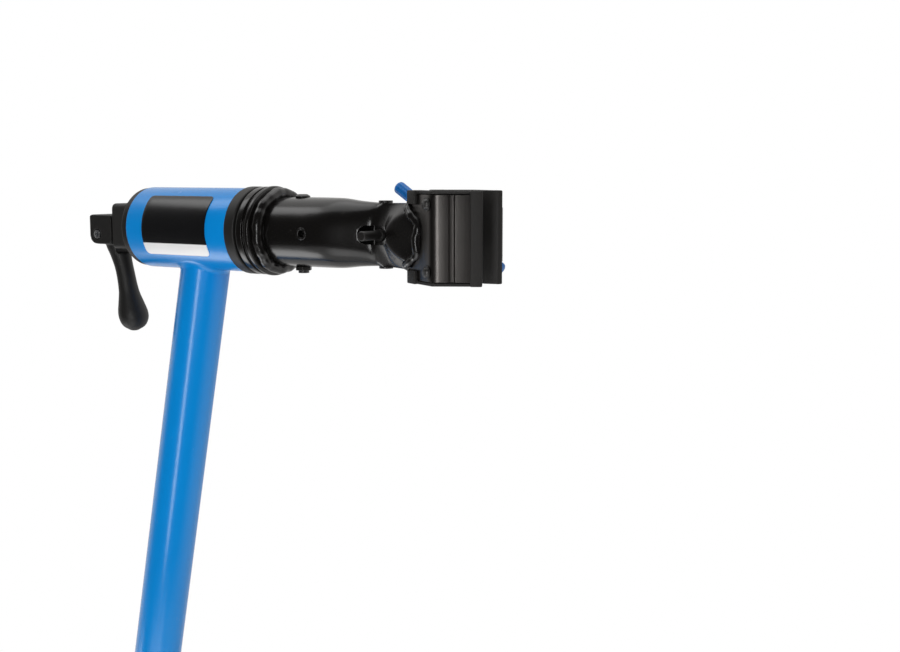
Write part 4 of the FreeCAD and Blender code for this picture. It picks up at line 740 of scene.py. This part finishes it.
def make_head_tube():
    """Head shell with softened rims, and the smooth fillet that joins it to the mast."""
    inner = HEAD_R - HEAD_WALL
    profile = rounded([(HEAD_REAR, inner, HEAD_INNER_RIM), (HEAD_REAR, HEAD_R, HEAD_RIM),
                       (HEAD_FRONT, HEAD_R, HEAD_RIM), (HEAD_FRONT, inner, HEAD_INNER_RIM)])
    standing_for("head_tube", "head_shell", turned(profile, count=HEAD_SIDES, loop=True), BLUE)
    above, sunk, below = WELD_HIDDEN
    rings = []
    for k, turn in enumerate(turns(WELD_STEPS)):
        leg = WELD_LEG * (1 + WELD_RIPPLE_DEPTH * math.sin(k * TURN / WELD_RIPPLE))
        seam = mast_seam(turn)
        low = mast_seam(turn, 0.0, leg)
        high = mast_seam(turn, leg)
        arc = [low.lerp(seam, t).lerp(seam.lerp(high, t), t) for t in WELD_ARC]
        rings.append([HEAD + point * MM for point in arc + [high * above, seam * sunk, low * below]])
    finished("head_weld", skinned(rings, loop=True), BLUE, nodes["head_tube"]["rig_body"], 1.0)


def make_badge():
    """Bare curved panel with rounded corners on the near side of the head."""
    high_r = HEAD_R + BADGE_GAP + BADGE_T
    top = math.radians(BADGE_TOP) * HEAD_R
    low = -math.radians(BADGE_LOW) * HEAD_R
    corners = [(BADGE_REAR, low), (BADGE_FRONT, low), (BADGE_FRONT, top), (BADGE_REAR, top)]
    outline = rounded([(x, arc, BADGE_CORNER) for x, arc in corners], steps=10)
    outer = bmesh.new()
    face = outer.faces.new([outer.verts.new((x, arc, 0)) for x, arc in outline])
    bmesh.ops.triangulate(outer, faces=[face])
    for k in range(1, BADGE_ROWS):
        level = low + (top - low) * k / BADGE_ROWS
        geometry = outer.verts[:] + outer.edges[:] + outer.faces[:]
        bmesh.ops.bisect_plane(outer, geom=geometry, plane_co=(0, level, 0), plane_no=(0, 1, 0))
    sheet = bpy.data.meshes.new("draft")
    outer.to_mesh(sheet)
    outer.free()
    for vertex in sheet.vertices:
        x, arc = vertex.co.x, vertex.co.y
        angle = arc / HEAD_R
        vertex.co = at_head(x, -high_r * math.cos(angle), high_r * math.sin(angle))
    piece = draft(sheet)
    solid = piece.modifiers.new("thick", "SOLIDIFY")
    solid.thickness = BADGE_T * MM
    solid.offset = 1.0 if sheet.polygons[0].normal.y > 0 else -1.0
    mesh = carved(baked(piece), BADGE_RIM, angle=0.8)
    bpy.data.objects.remove(piece)
    standing_for("badge_plate", "badge_panel", mesh, FILM)


def make_rings():
    """Bushings, thrust washer and the arm's grooved flange, with soft rims."""
    standing_for("head_bushing_front", "front_bushing", turned(rounded(FRONT_BUSHING), loop=True), NYLON)
    standing_for("thrust_washer", "washer", turned(rounded(THRUST_WASHER), loop=True), NYLON)
    standing_for("arm_flange", "flange", turned(rounded(ARM_FLANGE), count=HEAD_SIDES, loop=True), BLACK)
    standing_for("head_bushing_rear", "rear_bushing", turned(rounded(REAR_BUSHING), loop=True), NYLON)


def make_saddle():
    """Rounded block that carries the cam lever's pull."""
    plate = prism(rounded(SADDLE_PLATE), *SADDLE_PLATE_SPAN, FACING_REAR)
    boss = prism(rounded(SADDLE_BOSS), *SADDLE_BOSS_SPAN, FACING_REAR)
    mesh = carved(carved(plate, 0, joined=(boss,)), SADDLE_EDGE, segments=4, angle=0.9)
    standing_for("cam_saddle", "saddle", mesh, NYLON)


# Arm

def arm_ring(x, inset):
    """Cross section of the pinched arm tube, cut off by the back of the fixed jaw."""
    near, far = (PINCH, PINCH) if x < CREASE_X else (NEAR_FLARE, FAR_FLARE)
    height = interpolated(HALF_HEIGHT, x) - inset
    power = 2 / interpolated(SQUARENESS, x)
    ring = []
    for turn in turns(ARM_SIDES, 0.5):
        depth = interpolated(near if math.cos(turn) < 0 else far, x) - inset
        across = math.copysign(abs(math.cos(turn)) ** power, math.cos(turn)) * depth
        up = math.copysign(abs(math.sin(turn)) ** power, math.sin(turn)) * height
        if across < 0:
            past = [level - interpolated(ROOF_RIDGE, x) for level in (0, abs(up), height)]
            start, here, end = [reach + math.hypot(reach, ROOF_SOFT) for reach in past]
            fall = (depth - interpolated(ROOF_EDGE, x)) * (here - start) / (end - start)
            across += interpolated(ROOF, x) * (fall - depth - across)
        jaw_back = JAW_X - (JAW_APEX - JAW_SHIFT + across) / math.tan(JAW_TILT)
        ring.append(at_head(min(x, max(jaw_back, ARM_END)), across, up))
    return ring


def make_arm_tube():
    """Round tube pinched flat towards the jaws, with its slot and openings."""
    start = FLANGE_END - 1.0
    places = [start + (CREASE_X - start) * k / ROUND_STEPS for k in range(ROUND_STEPS + 1)]
    places += [CREASE_X + (ARM_LIP - CREASE_X) * k / FLARE_STEPS for k in range(1, FLARE_STEPS + 1)]
    outside = [arm_ring(x, 0.0) for x in places]
    inside = [arm_ring(x, ARM_WALL) for x in reversed(places)]
    slot = slab(SLOT_X - SLOT_HALF, SLOT_X + SLOT_HALF, SLOT_R, SLOT_R, 10)
    rear, front, half = REAR_OPENING
    stop_place = HEAD_FRAME @ Matrix.Translation((STOP_X * MM, 0, 0)) @ ALONG_Y
    nut_place = HEAD_FRAME @ Matrix.Translation((NUT_X * MM, 0, 0)) @ ALONG_Z
    tools = [prism(slot, -CUT_REACH, CUT_REACH, FACING_NEAR),
             prism(slab(rear, front, half, OPENING_CORNER), -CUT_REACH, -1, FACING_NEAR),
             drill(-CUT_REACH, -1, STOP_HOLE, stop_place),
             drill(-CUT_REACH, CUT_REACH, PIN_HOLE, nut_place)]
    mesh = carved(skinned(outside + inside, loop=True), ARM_EDGE, tools, angle=0.7)
    standing_for("arm_tube", "arm_shell", mesh, BLACK)


def make_arm_welds():
    """Lumpy bead round the tube at the flange, and the snaking one at the jaw end."""
    middle, ring_r, section = RING_WELD
    flange_path = []
    for turn in turns(RING_WELD_STEPS):
        radius = ring_r + 0.35 * math.sin(5 * turn) + 0.2 * math.sin(11 * turn + 1)
        along = middle + 0.4 * math.sin(7 * turn)
        flange_path.append(at_head(along, radius * math.cos(turn), radius * math.sin(turn)))
    mesh = bead(flange_path, section, RING_WELD_RIPPLE, RING_WELD_LUMP)
    finished("flange_weld", mesh, BLACK, "arm", WELD_SMOOTH)
    end_path = []
    for k, spot in enumerate(arm_ring(ARM_LIP, -JAW_WELD_OUT)[JAW_WELD_STEPS]):
        wander = JAW_WELD_WANDER * math.sin(k * JAW_WELD_BEND) - JAW_WELD_BACK
        end_path.append(spot + Vector((wander, 0, 0)) * MM)
    mesh = bead(end_path, JAW_WELD_R, JAW_WELD_RIPPLE, JAW_WELD_LUMP, False)
    finished("jaw_end_weld", mesh, BLACK, "arm", WELD_SMOOTH)


def make_arm_end_plate():
    """Plate that closes the tube behind the fixed jaw."""
    softened("arm_end_plate", BLACK, END_PLATE_EDGE, 3)


# Jaws

def jaw_plan(side, places):
    """Plan points of a jaw: place along X from its bend, signed, and depth from the back."""
    plan = []
    for along, depth in places:
        leg = 1 if along > 0 else -1
        x = JAW_X + along - leg * depth * math.sin(JAW_TILT)
        y = side * (JAW_APEX - abs(along) * math.tan(JAW_TILT) - depth * math.cos(JAW_TILT)) + JAW_SHIFT
        if along == 0:
            x = JAW_X
            y = side * (JAW_APEX - depth / math.cos(JAW_TILT)) + JAW_SHIFT
        plan.append((x, y))
    return plan


def make_jaw_steel(side, name, left):
    """Bent steel of a jaw with the pressed groove down its right half."""
    start, end, deep = GROOVE
    places = [(-left, 0), (0, 0), (start, 0), (start + GROOVE_SLOPE, deep), (end - GROOVE_SLOPE, deep),
              (end, 0), (STEEL_RIGHT, 0), (STEEL_RIGHT, STEEL_T), (0, STEEL_T), (-left, STEEL_T)]
    outline = rounded([(x, y, radius) for (x, y), radius in zip(jaw_plan(side, places), PLAN_ROUNDS)])
    mesh = prism(outline, -STEEL_HALF + STEEL_GAP, STEEL_HALF - STEEL_GAP)
    tools = []
    if side < 0:
        notch = JAW_X + NOTCH_RIGHT
        tools = [box((JAW_X - 60, -60, NOTCH_LEVEL), (notch, 20, CUT_REACH)),
                 box((JAW_X - 60, -60, -CUT_REACH), (notch, 20, -NOTCH_LEVEL)),
                 box((150, -60, -50), (PLATE_FACE, 20, 50))]
    mesh = carved(mesh, STEEL_EDGE, tools, segments=3, angle=0.8)
    standing_for(f"{name}_plate", f"{name}_steel", mesh, JAW)


def make_rivets(side, name, rim):
    """Round screw heads on the back of the steel, each with its washer ring."""
    dome = rounded([(-2.9, 0, 0), (-2.9, 2.3, 0), (-0.02, 2.3, 0), (-0.02, rim, 0.3), (0.6, rim, 0.4),
                    (0.45, rim - 0.9, 0.2), (0.95, rim - 1.0, 0.2), (2.5, rim - 1.9, 1.6), (2.8, 0, 0)],
                   closed=False)
    out = Vector((-math.sin(JAW_TILT), side * math.cos(JAW_TILT), 0))
    facing_out = out.to_track_quat("X", "Z").to_matrix().to_4x4()
    x, y = jaw_plan(side, [(-RIVET_T, 0)])[0]
    for word, z in (("top", RIVET_Z), ("bottom", -RIVET_Z)):
        place = HEAD_FRAME @ Matrix.Translation(Vector((x, y, z)) * MM) @ facing_out
        standing_for(f"{name}_rivet_{word}", f"{name}_screw_{word}", turned(dome, place, 48), OXIDE)


def make_jaws():
    """Both jaws: plates, screw heads and rubber covers."""
    make_jaw_steel(-1, "fixed_jaw", FIXED_LEFT)
    make_jaw_steel(1, "moving_jaw", MOVING_LEFT)
    make_rivets(-1, "fixed_jaw", FIXED_RIVET_R)
    make_rivets(1, "moving_jaw", MOVING_RIVET_R)
    softened("fixed_jaw_cover", RUBBER, COVER_EDGE, 3)
    softened("moving_jaw_cover", RUBBER, COVER_EDGE, 3)


# Cam lever

def make_cam_lever():
    """Cast lever: flat-sided block round its pin that runs into a round grip with a bulb."""
    block = prism(rounded(LEVER_BLOCK), -LEVER_HALF, LEVER_HALF, FACING_NEAR)
    level_of = [(level, x) for level, x, radius in reversed(LEVER_SPINE)]
    radius_of = [(level, radius) for level, x, radius in reversed(LEVER_SPINE)]
    rings = []
    for step in range(LEVER_STEPS + 1):
        level = LEVER_TIP + (LEVER_ROOT - LEVER_TIP) * step / LEVER_STEPS
        x = interpolated(level_of, level)
        radius = interpolated(radius_of, level)
        rings.append([at_head(x + radius * math.cos(turn), radius * math.sin(turn), level)
                      for turn in turns(LEVER_SIDES)])
    pin_x, pin_z = LEVER_PIN
    pin_place = HEAD_FRAME @ Matrix.Translation(Vector((pin_x, 0, pin_z)) * MM) @ ALONG_Y
    bore = drill(-20, 20, LEVER_BORE, pin_place)
    mesh = blended([block, skinned(rings)], LEVER_VOXEL, LEVER_SMOOTHING, [box(*LEVER_GAP), bore])
    standing_for("cam_lever", "cam_handle", mesh, NYLON, 1.0)


# Small parts

def make_screw():
    """Clamp screw with its thread, thrust collar and neck."""
    place = HEAD_FRAME @ Matrix.Translation((NUT_X * MM, 0, 0)) @ ALONG_Y
    body = nodes["clamp_screw"]["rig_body"]
    rings = []
    for k in range(THREAD_STEPS + 1):
        along = THREAD_START + THREAD_RUN * k / THREAD_STEPS
        phases = [(along / THREAD_PITCH - j / THREAD_SIDES) % 1.0 for j in range(THREAD_SIDES)]
        rings.append(hoop(place, along, [THREAD_R - THREAD_DEPTH * abs(2 * phase - 1) for phase in phases]))
    finished("screw_thread", skinned(rings), OXIDE, body, 0.9)
    finished("screw_point", turned(rounded(SCREW_POINT, closed=False), place, 48), OXIDE, body, 0.9)
    standing_for("clamp_screw", "screw_neck", turned(rounded(SCREW_NECK, closed=False), place, 48), OXIDE)


def make_caps():
    """Ribbed vinyl caps at both ends of the sliding bar."""
    ends = {}
    for word in ("lower", "upper"):
        low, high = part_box("t_bar_tip_" + word)
        ends[word] = (Vector(low) + Vector(high)) / 2
    for word, other in (("lower", "upper"), ("upper", "lower")):
        out = (ends[word] - ends[other]).normalized()
        place = Matrix.Translation(ends[word]) @ out.to_track_quat("X", "Z").to_matrix().to_4x4()
        rings = [hoop(place, CAP_START, [0.0])]
        for along, radius, rib in CAP_PROFILE:
            radii = [radius - rib * (0.5 + 0.5 * math.cos(CAP_RIBS * turn)) for turn in turns(CAP_SIDES)]
            rings.append(hoop(place, along, radii))
        rings.append(hoop(place, CAP_END, [0.0]))
        standing_for("t_bar_tip_" + word, "grip_cap_" + word, skinned(rings), VINYL)


def make_other_nodes():
    """Every node that no piece stands for yet gets softened edges and its finish."""
    for node in nodes:
        if not nodes[node].hide_render:
            softened(node, FINISH_OF[SLOT_OF[node]], EDGE_OF[SLOT_OF[node]])


# Stage

def floor_finish():
    """Pale floor that keeps the object's shadow and fades into the plain white ground at its rim."""
    ground = Finish("pale floor", Roughness=0.9, Specular_IOR_Level=0.1)
    ground.set(Base_Color=ground.mix(ground.noise(3.0), (0.86, 0.86, 0.86), (0.88, 0.88, 0.88)))
    span = FLOOR_SPAN**2
    rim = (ground.axis("X") ** 2.0 + ground.axis("Y") ** 2.0).above(0.7 * span, 0.6 * span)
    share = FLOOR_GLOW + (1 - FLOOR_GLOW) * rim
    seen = ground.node("ShaderNodeLightPath", out="Is Camera Ray") * share
    glow = ground.node("ShaderNodeEmission", None, {"Strength": 1.0})
    lit = Wire(ground, ground.shader.outputs[0])
    blend = ground.node("ShaderNodeMixShader", None, {0: seen, 1: lit, 2: glow})
    ground.fill(ground.tree.nodes["Material Output"].inputs["Surface"], blend)
    return ground.material


def make_floor():
    """Round floor under the stand."""
    mesh = bpy.data.meshes.new("floor")
    corners = [(FLOOR_SPAN * math.cos(turn), FLOOR_SPAN * math.sin(turn), 0) for turn in turns(FLOOR_SIDES)]
    mesh.from_pydata(corners, [], [tuple(range(FLOOR_SIDES))])
    floor = bpy.data.objects.new("floor", mesh)
    bpy.context.scene.collection.objects.link(floor)
    mesh.materials.append(floor_finish())


def make_world():
    """Soft light tent with a dim opening towards the camera's side, plain white behind the object."""
    world = bpy.data.worlds.new("studio")
    bpy.context.scene.world = world
    world.use_nodes = True
    tree = Tree(world.node_tree)
    direction = tree.node("ShaderNodeTexCoord", out="Generated")
    inputs = {0: direction, 1: OPENING}
    facing = tree.node("ShaderNodeVectorMath", {"operation": "DOT_PRODUCT"}, inputs, "Value")
    inputs = {"Value": facing, "From Min": OPENING_EDGE[0], "From Max": OPENING_EDGE[1]}
    edge = tree.node("ShaderNodeMapRange", {"interpolation_type": "SMOOTHSTEP"}, inputs)
    tent = tree.node("ShaderNodeBackground", None, {"Color": TENT_TINT, "Strength": TENT_LEVEL})
    opening = tree.node("ShaderNodeBackground", None, {"Color": OPENING_TINT, "Strength": OPENING_LEVEL})
    white = tree.node("ShaderNodeBackground", None, {"Color": (1, 1, 1), "Strength": 1.0})
    soft = tree.node("ShaderNodeMixShader", None, {0: edge, 1: tent, 2: opening})
    seen = tree.node("ShaderNodeLightPath", out="Is Camera Ray")
    blend = tree.node("ShaderNodeMixShader", None, {0: seen, 1: soft, 2: white})
    tree.fill(world.node_tree.nodes["World Output"].inputs["Surface"], blend)


def make_lamps():
    """Soft rectangular lamps, aimed at the head or near it."""
    for name, place, aim, width, height, power in LAMPS:
        light = bpy.data.lights.new(name, "AREA")
        light.shape = "RECTANGLE"
        light.size = width
        light.size_y = height
        light.energy = power
        made = bpy.data.objects.new(name, light)
        bpy.context.scene.collection.objects.link(made)
        made.location = HEAD + Vector(place)
        made.rotation_euler = (Vector(aim) - Vector(place)).to_track_quat("-Z", "Y").to_euler()
        made.visible_camera = False
        made.visible_glossy = name != UNMIRRORED_LAMP


def make_camera():
    """Camera at the photograph's place and angle."""
    data = bpy.data.cameras.new("camera")
    data.lens = CAMERA_LENS
    data.sensor_width = CAMERA_SENSOR
    data.clip_end = CAMERA_REACH
    camera = bpy.data.objects.new("camera", data)
    bpy.context.scene.collection.objects.link(camera)
    camera.location = HEAD + Vector(CAMERA_PLACE)
    camera.rotation_euler = (math.pi / 2 - CAMERA_PITCH, 0, CAMERA_AZIMUTH)
    bpy.context.scene.camera = camera


# The stand

BLUE = blue_powder_coat()
BLACK = black_powder_coat()
NYLON = black_nylon()
RUBBER = black_rubber()
JAW = jaw_steel()
ZINC = zinc_steel()
OXIDE = black_oxide()
VINYL = blue_vinyl()
FILM = badge_film()
BEAD = bead_group()
FINISH_OF = {"blue_paint": BLUE, "black_paint": BLACK, "jaw_steel": JAW, "black_plastic": NYLON,
             "black_rubber": RUBBER, "plated_steel": ZINC, "black_steel": OXIDE, "blue_tip": VINYL,
             "badge": FILM}
EDGE_OF = {"blue_paint": 0.5, "black_paint": 0.6, "jaw_steel": 0.5, "black_plastic": 1.2,
           "black_rubber": 1.5, "plated_steel": 0.4, "black_steel": 0.4, "blue_tip": 0.4, "badge": 0.1}
SLOT_OF = {entry["node"]: entry["material_slot"] for entry in frame["record"]["subparts"]}

make_head_tube()
make_badge()
make_rings()
make_saddle()
make_arm_tube()
make_arm_welds()
make_arm_end_plate()
make_jaws()
make_cam_lever()
make_screw()
make_caps()
make_other_nodes()
make_floor()
make_world()
make_lamps()
make_camera()
bpy.context.scene.view_settings.view_transform = "Standard"
